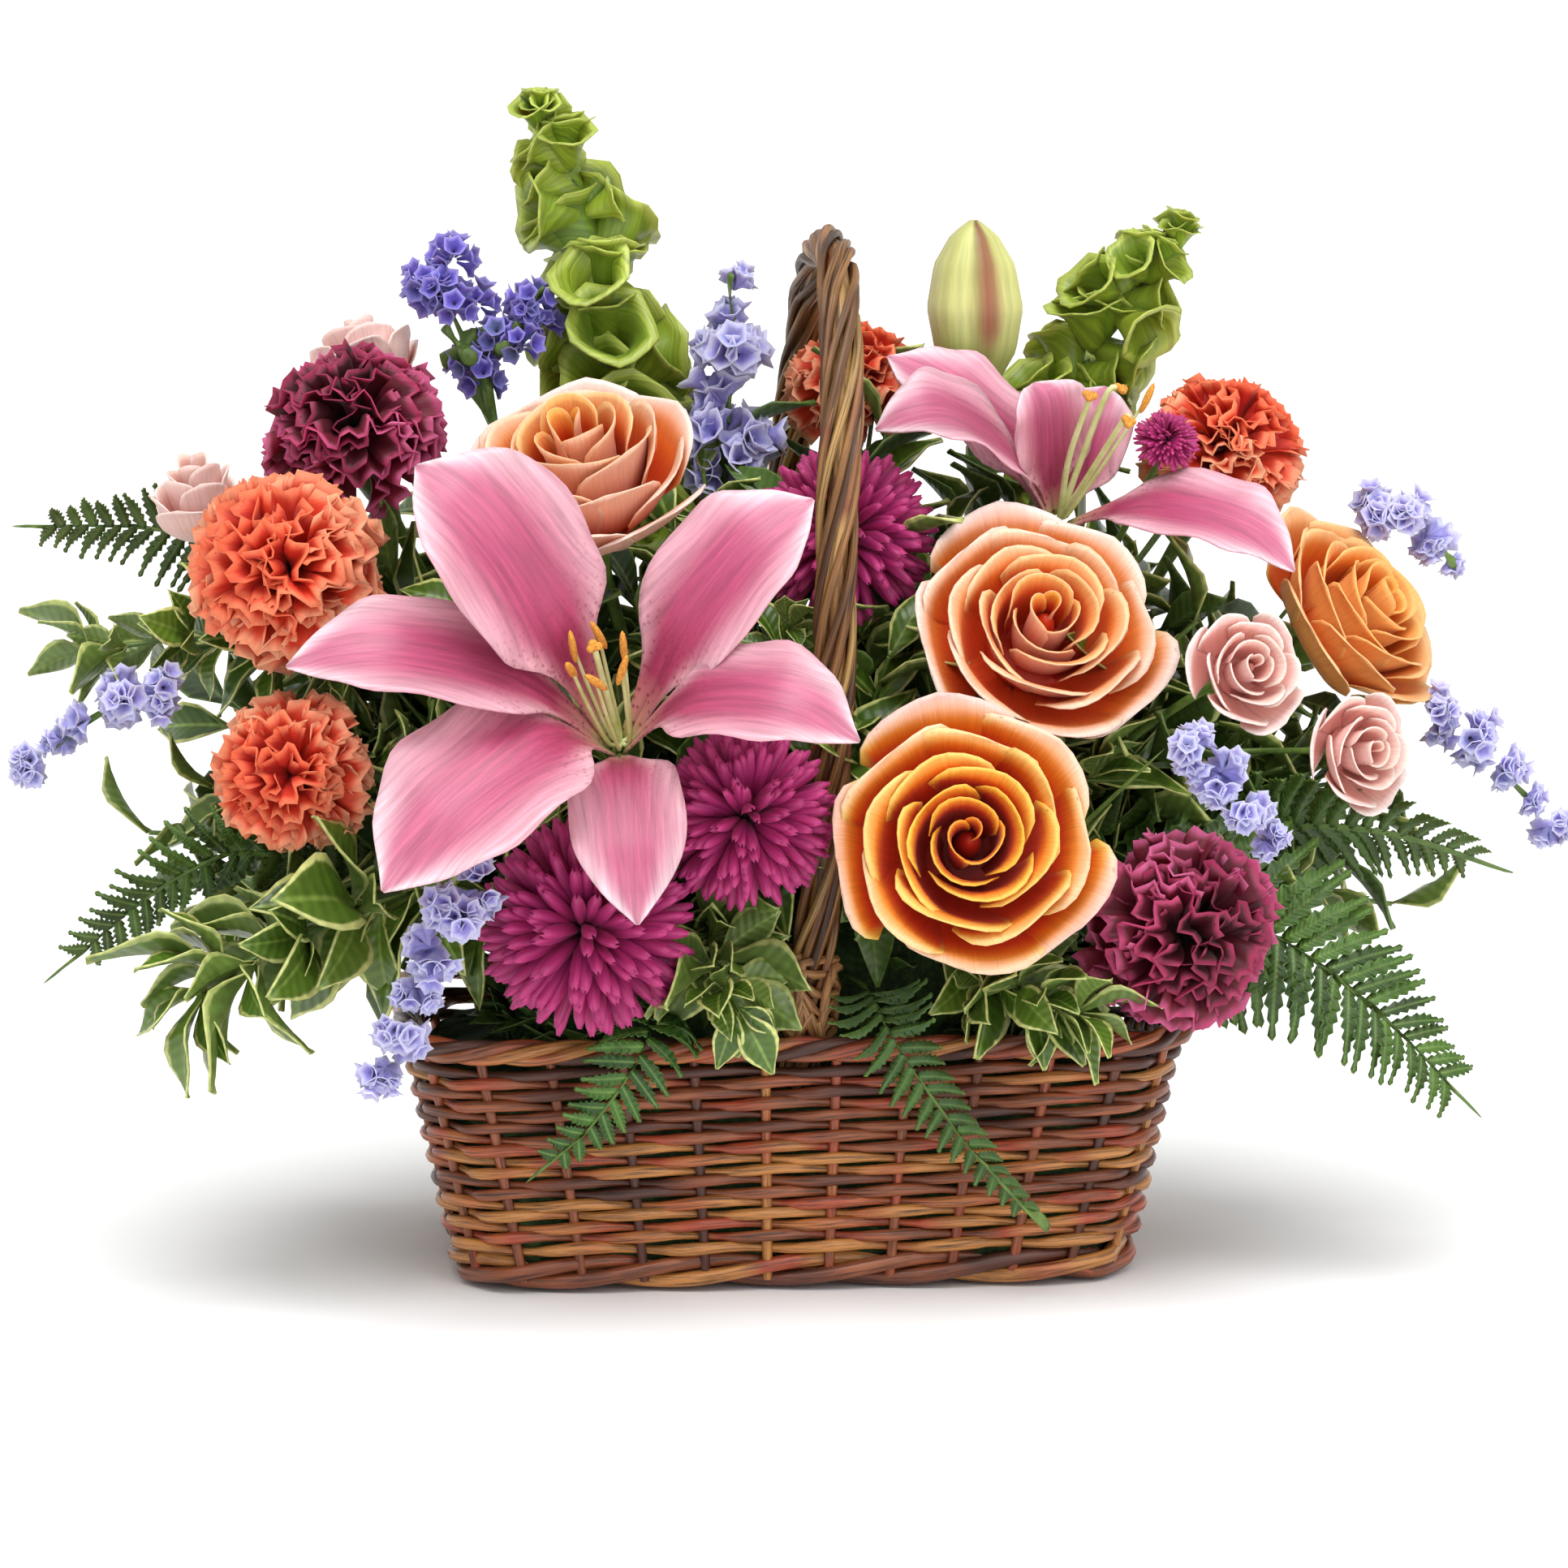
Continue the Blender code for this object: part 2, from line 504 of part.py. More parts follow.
def rose_shape(radius, tall, layers):
    """Layers of three wrapping petals round a bud, drawn out of a cone: the inner ones stand, the outer roll back."""
    columns = 9
    marks = [i / layers for i in range(layers + 1)]
    rings = [[Vector((0.24 * radius * math.cos(a), 0.24 * radius * math.sin(a), 0))
              for a in (2 * math.pi * j / columns for j in range(columns))]]
    for mark in marks:
        wide, high = radius * (0.52 - 0.40 * mark), radius * (0.07 + 0.16 * mark)
        rings.append([Vector((wide * math.cos(a), wide * math.sin(a), high))
                      for a in (2 * math.pi * j / columns for j in range(columns))])
    points, faces = stacked_rings(rings)
    cap = len(faces) - 1
    petals = []
    for layer in range(layers):
        for third in range(3):
            first = (2 * layer + third * 3) % columns
            low = [(layer + 1) * columns + (first + i) % columns for i in range(4)]
            high = [(layer + 2) * columns + (first + i) % columns for i in (3, 2, 1, 0)]
            for i in range(3):
                faces[(layer + 1) * columns + (first + i) % columns] = None
            petals.append((len(faces), layer, first, third))
            faces.append(tuple(low + high))
    for number, layer, first, third in petals:
        opened = 1 - (layer + 0.03 * third) / layers
        middle = 2 * math.pi * (first + 1.5) / columns
        lip, height = radius * (0.15 + 0.77 * opened), radius * tall * (0.88 - 0.36 * opened ** 2)
        base = radius * (0.12 + 0.40 * opened)
        wrap = math.radians(86 - 16 * opened)
        sheets = []
        for share, out, lift, half in (
                (0.5, base + (lip - base) * 0.85, height * 0.55, math.radians(57)),
                (1.0, lip + 0.03 * radius * opened ** 2, height, wrap)):
            outer, inner = [], []
            for i, t in enumerate((-1, -0.36, 0.36, 1)):
                angle = middle + half * t
                spiral = t * (radius * (0.055 + 0.03 * opened) + 0.5 * PETAL)
                dip = 0.13 * radius * t * t * share
                ruffle = 0.02 * radius * math.sin(5 * number + 2.5 * i) * opened * share
                for sheet, gap in ((outer, 0.0), (inner, -0.9 * MM)):
                    far = out + spiral + gap
                    sheet.append(Vector((far * math.cos(angle), far * math.sin(angle), lift - dip + ruffle)))
            sheets.append(outer + inner[::-1])
        grow(points, faces, number, sheets)
    bud = [[Vector((wide * radius * math.cos(a), wide * radius * math.sin(a), high * radius * tall))
            for a in (2 * math.pi * j / columns for j in range(columns))] for wide, high in ((0.1, 0.6),)]
    grow(points, faces, cap, bud, Vector((0, 0, 0.84 * radius * tall)))
    return points, [f for f in faces if f]


def carnation_shape(radius):
    """A ball whose faces are drawn out into fan petals with wavy outer edges, and its open back as a list of points."""
    heart = Vector((0, 0, 0.32 * radius))
    levels = [math.radians(a) for a in (122, 90, 56, 22)]
    sides = 6
    points = []
    for polar in levels:
        for j in range(sides):
            angle = 2 * math.pi * j / sides
            points.append(heart + 0.5 * radius * Vector(
                (math.sin(polar) * math.cos(angle), math.sin(polar) * math.sin(angle), math.cos(polar))))
    faces = []
    for k in range(len(levels) - 1):
        for j in range(sides):
            a, b = k * sides + j, k * sides + (j + 1) % sides
            faces.append((a, b, b + sides, a + sides))
    petals = len(faces)
    top = (len(levels) - 1) * sides
    faces += [(top, top + 1, top + 2, top + 3), (top, top + 3, top + 4, top + 5)]
    for number in range(petals + 2):
        middle, out, u, w = face_frame(points, faces[number])
        out = (middle - heart).normalized()
        u = (u - out * out.dot(u)).normalized()
        turn = Matrix.Rotation(0.26 * math.sin(2.4 * number), 3, out)
        tilt = Matrix.Rotation(0.09 * math.sin(4.1 * number + 1), 3, u)
        u, w, out = turn @ u, turn @ (out.cross(u)), tilt @ out
        wide = (0.33, 0.33, 0.215, 0.2)[number // sides] * radius
        wave = 0.09 * radius * (-1) ** number
        far = radius * (1.0 if number % 2 else 0.93)
        rim = section(heart + out * 0.82 * far, u, w, wide, PETAL / 2)
        crest = [heart + out * far * lift + u * wide * t + w * wave * turn_
                 for t, lift, turn_ in ((-0.62, 0.97, 1), (0.05, 1.0, -1), (0.66, 0.96, 1))]
        grow(points, faces, number, [rim], crest=crest)
    back = tuple(range(sides - 1, -1, -1))
    return points, [f for f in faces if f], back


def mum_shape(radius, turns, reach_angle=97):
    """A ball whose faces are drawn out into slender keeled petals, but for those at its open back."""
    work = bmesh.new()
    bmesh.ops.create_icosphere(work, subdivisions=turns, radius=1)
    lowest = min(work.faces, key=lambda f: f.calc_center_median().normalized().z)
    turn = lowest.calc_center_median().rotation_difference(-UP)
    work.transform(turn.to_matrix().to_4x4())
    heart = Vector((0, 0, 0.3 * radius))
    points = [heart + v.co.normalized() * 0.46 * radius for v in work.verts]
    back = tuple(v.index for v in lowest.verts)
    faces = []
    for number, face in enumerate(work.faces):
        ring = tuple(v.index for v in face.verts)
        out = face.calc_center_median().normalized()
        polar = math.degrees(math.acos(out.z))
        if ring == back:
            continue
        if polar > reach_angle:
            faces.append(ring)
            continue
        side = UP.cross(out).normalized() if abs(out.z) < 0.97 else Vector((1, 0, 0))
        lift = out.cross(side)
        reach = radius * (1.0 if number % 3 else 0.88)
        if polar < 30:
            reach *= 0.86
        belly = heart + out * 0.8 * reach
        trio = [belly - side * 0.125 * radius, belly + side * 0.125 * radius, belly + lift * 0.07 * radius]
        if (trio[1] - trio[0]).cross(trio[2] - trio[0]).dot(out) < 0:
            trio = [trio[1], trio[0], trio[2]]
        near = min(range(3), key=lambda r: sum((points[ring[j]] - trio[(j + r) % 3]).length for j in range(3)))
        faces.append(ring)
        grow(points, faces, len(faces) - 1, [trio[near:] + trio[:near]], heart + out * reach - lift * 0.06 * radius)
    work.free()
    return points, [f for f in faces if f], back


def lily_shape(throat, axis, tepals):
    """A throat with a tepal out of each side: out, up over an arch, and bent back at its pointed tip."""
    order = []
    for spot in tepals:
        reach = Vector(spot["tip"]) * MM - throat
        radial = reach - axis * reach.dot(axis)
        order.append((radial.normalized(), spot))
    right, up, _ = facing_axes(axis)
    order.sort(key=lambda pair: math.atan2(pair[0].dot(up), pair[0].dot(right)))
    count = len(order)
    angles = [math.atan2(radial.dot(up), radial.dot(right)) for radial, _ in order]
    corners = []
    for k in range(count):
        last = angles[k - 1] - (2 * math.pi if k == 0 else 0)
        corners.append((last + angles[k]) / 2)
    around = []
    for corner, angle in zip(corners, angles):
        around += [corner, angle]
    points = [throat + (right * math.cos(a) + up * math.sin(a)) * wide * MM + axis * high * MM
              for wide, high in ((5.9, -3.5), (6.4, 2.5)) for a in around]
    size = len(around)
    faces = []
    for k in range(count):
        a, b, c = 2 * k, 2 * k + 1, (2 * k + 2) % size
        faces.append((a, b, c, c + size, b + size, a + size))
    faces += [tuple(range(size - 1, -1, -1)), tuple(range(size, 2 * size))]
    for k, (radial, spot) in enumerate(order):
        tip, width = Vector(spot["tip"]) * MM, spot["width"] * MM
        length = (tip - throat).length
        start = throat + radial * 5.5 * MM - axis * 0.5 * MM
        bend = start + axis * length * spot["arch"] + radial * length * 0.12
        over = tip + axis * length * spot["recurve"] * 0.8 - radial * length * 0.28
        across = axis.cross(radial)
        curve = bezier(start, bend, over, tip, 13)
        rings = []
        layer = axis * (1.3 * MM if k % 2 else -1.3 * MM)
        for step, wide in ((3, 0.26), (5, 0.78), (8, 0.97), (10, 0.66)):
            middle = curve[step] + layer
            middle += radial * max(0, TEPAL_CLEAR - (middle - throat).dot(radial))
            top = (curve[step + 1] - curve[step - 1]).normalized().cross(across)
            half = across * width / 2 * wide
            edge = top * 0.09 * width * wide
            under = [middle - half + edge, middle, middle + half + edge]
            rings.append(under + [p + top * 1.1 * MM for p in reversed(under)])
        grow(points, faces, k, rings, tip)
    return points, [f for f in faces if f]


def lily_stamens(throat, axis, lean, length):
    """Pistil and six filaments with swinging anthers, rising from one base on the throat along lean."""
    right, up, _ = facing_axes(axis)
    spokes = [right * math.cos(a) + up * math.sin(a) for a in (2 * math.pi * k / 6 for k in range(6))]
    points = [throat + spoke * wide * MM + axis * high * MM for wide, high in ((2.4, 0), (2.2, 3)) for spoke in spokes]
    faces = [(k, (k + 1) % 6, (k + 1) % 6 + 6, k + 6) for k in range(6)]
    faces += [tuple(range(5, -1, -1)), tuple(range(6, 12))]
    for k in range(6):
        _, out, u, w = face_frame(points, faces[k])
        root = throat + axis * 4 * MM + out * 4 * MM
        top = throat + lean * length * 0.86 + out * length * 0.2
        along = (top - root).normalized()
        back = u.cross(along) * -1
        rings = [section(root, u, (axis - out).normalized(), 0.8 * MM, 0.8 * MM),
                 section(top - along * 2 * MM, u, back, 0.6 * MM, 0.6 * MM),
                 section(top, u, back, 3.9 * MM, 1.2 * MM)]
        grow(points, faces, k, rings, top + along * 2.5 * MM)
    ring = [[throat + lean * length * share + spoke * wide * MM for spoke in spokes]
            for share, wide in ((0.9, 1.1), (1.0, 3.0))]
    grow(points, faces, 7, ring, throat + lean * (length + 1 * MM))
    return points, [f for f in faces if f]


def seat_of(bloom):
    """Where a bloom meets its calyx, and its three axes."""
    axes = facing_axes(bloom["facing"], bloom.get("roll", 0))
    rise = bloom.get("rise", 0.35 * bloom["radius"])
    return Vector(bloom["face"]) * MM - axes[2] * rise * MM, axes


# ---------------------------------------------------------------- stems

def spread_feet(starts):
    """Where each stem ends in the foam: under its bloom, drawn in to the block and spaced apart."""
    names = list(starts)
    feet = np.array([(starts[n].x / MM * 0.42, starts[n].y / MM * 0.42) for n in names])
    reach = np.array(FOOT_REACH, float)
    for _ in range(400):
        for a in range(len(names)):
            for b in range(a):
                apart = feet[a] - feet[b]
                gap = max(1e-6, math.hypot(*apart))
                if gap < FOOT_SPACING:
                    push = apart / gap * (FOOT_SPACING - gap) / 2
                    feet[a] += push
                    feet[b] -= push
        feet = np.clip(feet, -reach, reach)
    return {n: Vector((x, y, FOOT_LEVEL)) * MM for n, (x, y) in zip(names, feet)}


def detours():
    """Sideways shifts to try for a stem's middle, nearest first."""
    yield Vector()
    for far in (7, 14, 22, 30, 40, 52):
        for turn in range(10):
            angle = 2 * math.pi * turn / 10
            yield Vector((math.cos(angle), math.sin(angle), 0.35 * math.sin(3 * angle))) * far * MM


def bezier(start, first, second, end, count):
    return [(1 - s) ** 3 * start + 3 * (1 - s) ** 2 * s * first + 3 * (1 - s) * s * s * second + s ** 3 * end
            for s in (k / (count - 1) for k in range(count))]


def stem_line(name, start, back, foot, radius, count=5, into=UP):
    """A line from start, leaving along back, down to foot, clear of every finished node."""
    reach = (start - foot).length
    for bend in (0.45, 0.3, 0.6, 0.2):
        for shift in detours():
            first, second = start + back * reach * bend + shift, foot + into * reach * 0.35 + shift * 0.6
            line = bezier(start, first, second, foot, count)
            if not blockers(tube(line, [radius + CLEARANCE] * count, 6)):
                return line
    print(f"no clear way for the stem of {name}: {blockers(tube(line, [radius] * count, 5))}")
    return line


def note_foot(rings):
    """Keeps a stem's rings from its foot to the first one that is well out of the foam."""
    for k, ring in enumerate(rings):
        p = sum(ring, Vector()) / len(ring) / MM
        if k and (p.z > FOAM_TOP + 6 or abs(p.x) > FOAM_HALF[0] + 6 or abs(p.y) > FOAM_HALF[1] + 6):
            break
    stem_feet.append(rings[:k + 1])


def calyx_and_stem(name, start, back, foot, radius, wide, long, sides, side=None):
    """Rings of one tube: a calyx from start, then the stem down to its foot in the foam."""
    line = stem_line(name, start + back * long, back, foot, radius)
    whole = [start, start + back * long * 0.55, *line]
    rings = rings_along(whole, [wide, wide * 0.9] + [radius] * len(line), sides, side)
    note_foot([ring[::-1] for ring in rings[::-1]])
    return rings, line


def spray_line(name, visible, foot, radius, count):
    """A stem from its foot in the foam in two hidden steps, then count steps along the given visible line."""
    seen = metres(visible)
    middle = foot.lerp(seen[0], 0.5) + UP * 6 * MM
    for shift in detours():
        whole = smooth_line([foot, middle + shift, *seen], 60)
        split = next(k for k in range(60) if line_length(whole[k:]) <= line_length(seen) * 1.08)
        line = smooth_line(whole[:split + 1], 3)[:-1] + smooth_line(whole[split:], count + 1)
        if not blockers(tube(line, [radius + CLEARANCE] * len(line), 6)):
            return line, 2
    print(f"no clear way for {name}: {blockers(tube(line, [radius] * len(line), 5))}")
    return line, 2


# ---------------------------------------------------------------- leaves, florets and bells on a line

def at_share(line, share):
    """Point and direction at a share of a line's length, counted from its root."""
    place = min(max(share, 0), 1) * (len(line) - 1)
    k = min(int(place), len(line) - 2)
    return line[k].lerp(line[k + 1], place - k), (line[k + 1] - line[k]).normalized()


def line_length(line):
    return sum((b - a).length for a, b in zip(line, line[1:]))


def is_free(shape, own=()):
    tree = tree_of(shape)
    return (not blockers(shape) and not foam_block.overlap(tree)
            and not any(other.overlap(tree) for other in own))


def closed_sleeve(base, rings, tip):
    """A blade as a closed shape that starts a little way out of the stalk, for testing what it crosses."""
    first = [p.lerp(q, 0.3) for p, q in zip(base, rings[0])]
    points, faces = stacked_rings([first, *rings])
    if tip is not None:
        faces.pop()
        points.append(tip)
        start = len(rings) * 4
        faces += [(start + j, start + (j + 1) % 4, len(points) - 1) for j in range(4)]
    return points, faces


def draw_out(points, faces, number, make, own):
    """Draws a stalk's face out into the first of a blade's bends and sizes that is clear, if there is one."""
    base = [points[i] for i in faces[number]]
    for share in (1.0, 0.8, 0.6, 0.42):
        for lift, swing in ((0, 0), (20, 0), (-20, 0), (0, 20), (0, -20), (40, 0), (-40, 0), (25, 25),
                            (-25, -25), (0, 40), (0, -40), (60, 0), (-60, 0)):
            rings, tip = make(lift, swing, share, 1.2 * MM)
            test = closed_sleeve(base, rings, tip)
            if is_free(test, own):
                own.append(tree_of(test))
                rings, tip = make(lift, swing, share, 0)
                grow(points, faces, number, rings, tip)
                return


def bent(out, u, w, lift, swing):
    """The three directions of a blade after tilting it along the stalk and swinging it round, in degrees."""
    turn = Matrix.Rotation(math.radians(swing), 3, w) @ Matrix.Rotation(math.radians(lift), 3, u)
    return turn @ out, turn @ u, turn @ w


def fern_shape(name, frond, foot):
    """A frond: two rows of pointed pinnae along a rachis, shorter towards its tip."""
    pairs = frond["pairs"]
    line, hidden = spray_line(name, frond["line"], foot, 1.2 * MM, pairs)
    across = Vector(frond["across"]).normalized()
    along = line[-1] - line[hidden]
    side = along.cross(across)
    points, faces = stalk(line, [1.3 * MM] * (len(line) - 1) + [0.8 * MM], 3, side)
    note_foot([points[k:k + 3] for k in range(0, len(points), 3)])
    own = []
    for pair in range(pairs):
        place = (pair + 0.5) / pairs
        reach = frond["reach"] * MM * (1 - 0.72 * place)
        half = 0.5 * line_length(line[hidden:]) / pairs
        for hand in (0, 1):
            # faces 1 and 2 of each row look to the two sides, and face 0 lies along the rachis
            number = (hidden + pair) * 3 + (1, 2)[hand]
            middle, out, u, w = face_frame(points, faces[number])

            def pinna(lift, swing, share, extra):
                sideways = across - w * across.dot(w)
                sideways = sideways.normalized() * (1 if out.dot(sideways) > 0 else -1)
                way, cross, broad = bent(sideways, w.cross(sideways), w, lift, swing)
                way = (way + broad * (0.45 + 0.5 * place)).normalized()
                length = reach * share
                tip = middle + way * length
                if place > 0.55:
                    return [section(middle + way * 0.3 * length, cross, broad, 0.5 * MM + extra / 2, 0.8 * half)], tip
                belly = middle + way * 0.45 * length
                return [section(belly, cross, broad, 0.4 * MM + extra / 2, 0.9 * half)], tip
            draw_out(points, faces, number, pinna, own)
    return points, [f for f in faces if f]


def leafy_stalk(line, hidden, spray):
    """Oval leaves on short stalks, in turn round a line, from its hidden-th point on."""
    count = spray["leaves"]
    fine = list(line[:hidden])
    for k in range(hidden, hidden + count):
        fine += [line[k], line[k] + (line[k + 1] - line[k]).normalized() * 2.6 * MM]
    fine.append(line[-1])
    points, faces = stalk(fine, [1.4 * MM] * (len(fine) - 1) + [0.9 * MM], 3, None, 0.35)
    if hidden:
        note_foot([points[k:k + 3] for k in range(0, len(points), 3)])
    own = []
    for k in range(count):
        place = (k + 0.5) / count
        number = (hidden + 2 * k) * 3 + k % 3
        middle, out, u, w = face_frame(points, faces[number])

        def leaf(lift, swing, share, extra):
            way, cross, top = bent(out, u, w, lift, swing)
            way = (way + top * (0.5 + 0.6 * place)).normalized()
            top = cross.cross(way) * -1
            length = spray["length"] * MM * (1.05 - 0.3 * place + 0.12 * math.sin(5 * k)) * share
            thin = 0.4 * MM + extra / 2
            rings = [section(middle + way * length * s + top * length * 0.1 * math.sin(math.pi * s), cross, top,
                             0.5 * length * wide, thin) for s, wide in ((0.42, 0.44), (0.76, 0.40))]
            return rings, middle + way * length
        draw_out(points, faces, number, leaf, own)
    return points, [f for f in faces if f]


def pittosporum_shape(name, spray, foot):
    line, hidden = spray_line(name, spray["line"], foot, 1.3 * MM, spray["leaves"])
    return leafy_stalk(line, hidden, spray)


def funnel(middle, out, u, w, length, radius, dish):
    return [section(middle + out * length, u, w, radius, radius)], middle + out * length * (1 - dish)


def statice_shape(name, spray, foot):
    """Small funnel florets close together round a stem."""
    rows = spray["rows"]
    line, hidden = spray_line(name, spray["line"], foot, 1.4 * MM, rows)
    points, faces = stalk(line, [1.5 * MM] * len(line), 3, None, 0.5)
    note_foot([points[k:k + 3] for k in range(0, len(points), 3)])
    own = []
    for row in range(rows):
        place = (row + 0.5) / rows
        for j in range(3):
            number = (hidden + row) * 3 + j
            middle, out, u, w = face_frame(points, faces[number])
            reach = spray["width"] * MM * (1.2 - 0.35 * place + 0.15 * math.sin(7 * number))

            def floret(lift, swing, share, extra):
                way, cross, top = bent(out, u, w, lift, swing)
                way = (way + top * (0.2 + 0.9 * place)).normalized()
                top = cross.cross(way) * -1
                return funnel(middle, way, cross, top, reach * share, 0.42 * reach * share + extra / 2, 0.35)
            draw_out(points, faces, number, floret, own)
    return points, [f for f in faces if f]


def statice_head(start, head):
    """A branch that ends in a tuft of florets."""
    center, radius = Vector(head["at"]) * MM, head["radius"] * MM
    toward = (center - start).normalized()
    line = [start - toward * 1 * MM, center - toward * radius, center - toward * 0.3 * radius, center]
    points, faces = stalk(line, [1.1 * MM, 1.4 * MM, 1.6 * MM, 1.6 * MM], 3, None, 0.6)
    own = []
    for row in (1,):
        for j in range(3):
            middle, out, u, w = face_frame(points, faces[row * 3 + j])

            def floret(lift, swing, share, extra):
                way, cross, top = bent(out, u, w, lift, swing)
                way = (way + top * (0.1 + 0.7 * (row - 1))).normalized()
                top = cross.cross(way) * -1
                return funnel(middle, way, cross, top, radius * share, 0.45 * radius * share + extra / 2, 0.35)
            draw_out(points, faces, row * 3 + j, floret, own)
    tip = [p + toward * 0.8 * radius + (p - center) * 2 for p in points[9:12]]
    grow(points, faces, 10, [tip], center + toward * 0.5 * radius)
    return points, [f for f in faces if f]


def bell_shape(name, spike, foot):
    """Whorls of open bells, each a cup drawn out of the stem, smaller towards the tip."""
    levels = spike["levels"]
    line, hidden = spray_line(name, spike["line"], foot, 2.0 * MM, levels)
    fine = list(line[:hidden])
    for k in range(hidden, hidden + levels):
        fine += [line[k], line[k].lerp(line[k + 1], 0.45)]
    fine.append(line[-1])
    points, faces = stalk(fine, [2.0 * MM] * (len(fine) - 1) + [1.2 * MM], 3, None, 0.52)
    note_foot([points[k:k + 3] for k in range(0, len(points), 3)])
    own = []
    for level in range(levels):
        place = level / levels
        size = spike["width"] * MM * (1 - 0.2 * place - 0.5 * max(0, place - 0.6) / 0.4)
        for j in range(3):
            number = (hidden + 2 * level) * 3 + j
            middle, out, u, w = face_frame(points, faces[number])

            def bell(lift, swing, share, extra):
                way, cross, top = bent(out, u, w, lift, swing)
                way = (way + top * (0.2 + 0.8 * place)).normalized()
                top = cross.cross(way) * -1
                return funnel(middle, way, cross, top, 1.5 * size * share, 0.66 * size * share + extra / 3, 0.72)
            draw_out(points, faces, number, bell, own)
    return points, [f for f in faces if f]


# ---------------------------------------------------------------- the arrangement

def build_blooms():
    for table, finish, colour in ((ROSES, "rose petal", PEACH), (SPRAY_ROSES, "spray rose petal", BLUSH)):
        for name, rose in table.items():
            seat, axes = seat_of(rose)
            shape = rose_shape(rose["radius"] * MM, rose["tall"], rose["layers"])
            add_node(name, [placed(shape, seat, axes)], finish, colour, 0.5)
    for name, lily in LILIES.items():
        throat, axis = Vector(lily["throat"]) * MM, Vector(lily["facing"]).normalized()
        add_node(name, [lily_shape(throat, axis, lily["tepals"])], "lily tepal", LILY_PINK, 0.45)
        add_node(name + "_stamens", [lily_stamens(throat + axis * 2.9 * MM, axis, Vector(lily["lean"]).normalized(), lily["stamen"] * MM)],
                 "lily stamen", POLLEN, 0.6)


def build_whole_flowers(feet):
    """Carnations and chrysanthemums: bloom, calyx and stem in one node, since they hold together."""
    for name, bloom in {**CARNATIONS, **MUMS}.items():
        seat, axes = seat_of(bloom)
        radius = bloom["radius"] * MM
        if name in CARNATIONS:
            points, faces, back = carnation_shape(radius)
            finish, wide, long = "carnation petal ", 0.24 * radius, 0.6 * radius
        else:
            points, faces, back = mum_shape(radius, bloom["turns"])
            finish, wide, long = "chrysanthemum petal ", 0.26 * radius, 0.25 * radius
        points, faces = placed((points, faces), seat, axes)
        middle = sum((points[i] for i in back), Vector()) / len(back)
        start = middle - axes[2] * 0.12 * radius
        rings, _ = calyx_and_stem(name, start, -axes[2], feet[name], 2.3 * MM, wide, long, len(back),
                                  points[back[0]] - middle)
        faces.append(back)
        grow(points, faces, len(faces) - 1, rings)
        add_node(name, [(points, [f for f in faces if f])], finish + bloom["tint"], bloom["colour"], 0.6)


def build_rose_stems(feet):
    for name, rose in ROSES.items():
        seat, axes = seat_of(rose)
        back, radius = -axes[2], rose["radius"] * MM
        rings, _ = calyx_and_stem(name, seat + back * SEAT_GAP, back, feet[name], 2.8 * MM, 0.2 * radius,
                                  0.3 * radius, 5)
        add_node(name + "_stem", [stacked_rings(rings)], "flower stem", STEM_GREEN, 0.6)
    for name, members in SPRAY_STEMS.items():
        shapes, trunk = [], None
        for member in members:
            seat, axes = seat_of(SPRAY_ROSES[member])
            back, radius = -axes[2], SPRAY_ROSES[member]["radius"] * MM
            start = seat + back * SEAT_GAP
            if trunk is None:
                rings, trunk = calyx_and_stem(member, start, back, feet[member], 2 * MM, 0.2 * radius, 0.36 * radius, 4)
            else:
                joint, down = at_share(trunk, 0.55)
                line = stem_line(member, start + back * 0.36 * radius, back, joint, 1.5 * MM, 5, -down)
                rings = rings_along([start, *line], [0.2 * radius] + [1.5 * MM] * len(line), 4)
            shapes.append(stacked_rings(rings))
        add_node(name, shapes, "flower stem", STEM_GREEN, 0.6)


def build_lily_stems(feet):
    for name, lily in LILIES.items():
        throat, axis = Vector(lily["throat"]) * MM, Vector(lily["facing"]).normalized()
        start = throat - axis * (3.5 * MM + SEAT_GAP)
        rings, trunk = calyx_and_stem(name, start, -axis, feet[name], 2.8 * MM, 3.2 * MM, 6 * MM, 5)
        shapes = [stacked_rings(rings)]
        if name == "lily_back":
            base, tip = Vector(LILY_BUD["base"]) * MM, Vector(LILY_BUD["tip"]) * MM
            radius, along = LILY_BUD["radius"] * MM, (tip - base).normalized()
            joint, down = at_share(trunk, 0.35)
            line = stem_line("lily_bud", base, -along, joint, 2 * MM, 5, -down)
            swell = [base.lerp(tip, s) for s in (1, 0.74, 0.42, 0.14)]
            shapes.append(tube(swell + line, [radius * w for w in (0.62, 0.9, 1, 0.66, 0.2)] + [2 * MM] * 4, 6))
        add_node(name + "_stem", shapes, "flower stem", STEM_GREEN, 0.6)


def build_sprays(feet):
    for table, shape, finish, colour in (
            (STATICE, statice_shape, "statice floret", LAVENDER),
            (BELLS, bell_shape, "bell calyx", LIME),
            (PITTOSPORUM, pittosporum_shape, "pittosporum leaf", LEAF_GREEN),
            (FERNS, fern_shape, "fern leaf", FERN_GREEN)):
        for name, spray in table.items():
            shapes = [shape(name, spray, feet[name])]
            shapes += [statice_head(Vector(spray["line"][-1]) * MM, head) for head in spray.get("heads", ())]
            shapes += [leafy_stalk(smooth_line(metres(side["line"]), side["leaves"] + 1), 0, side)
                       for side in spray.get("branches", ())]
            add_node(name, shapes, finish, colour, 0.6)


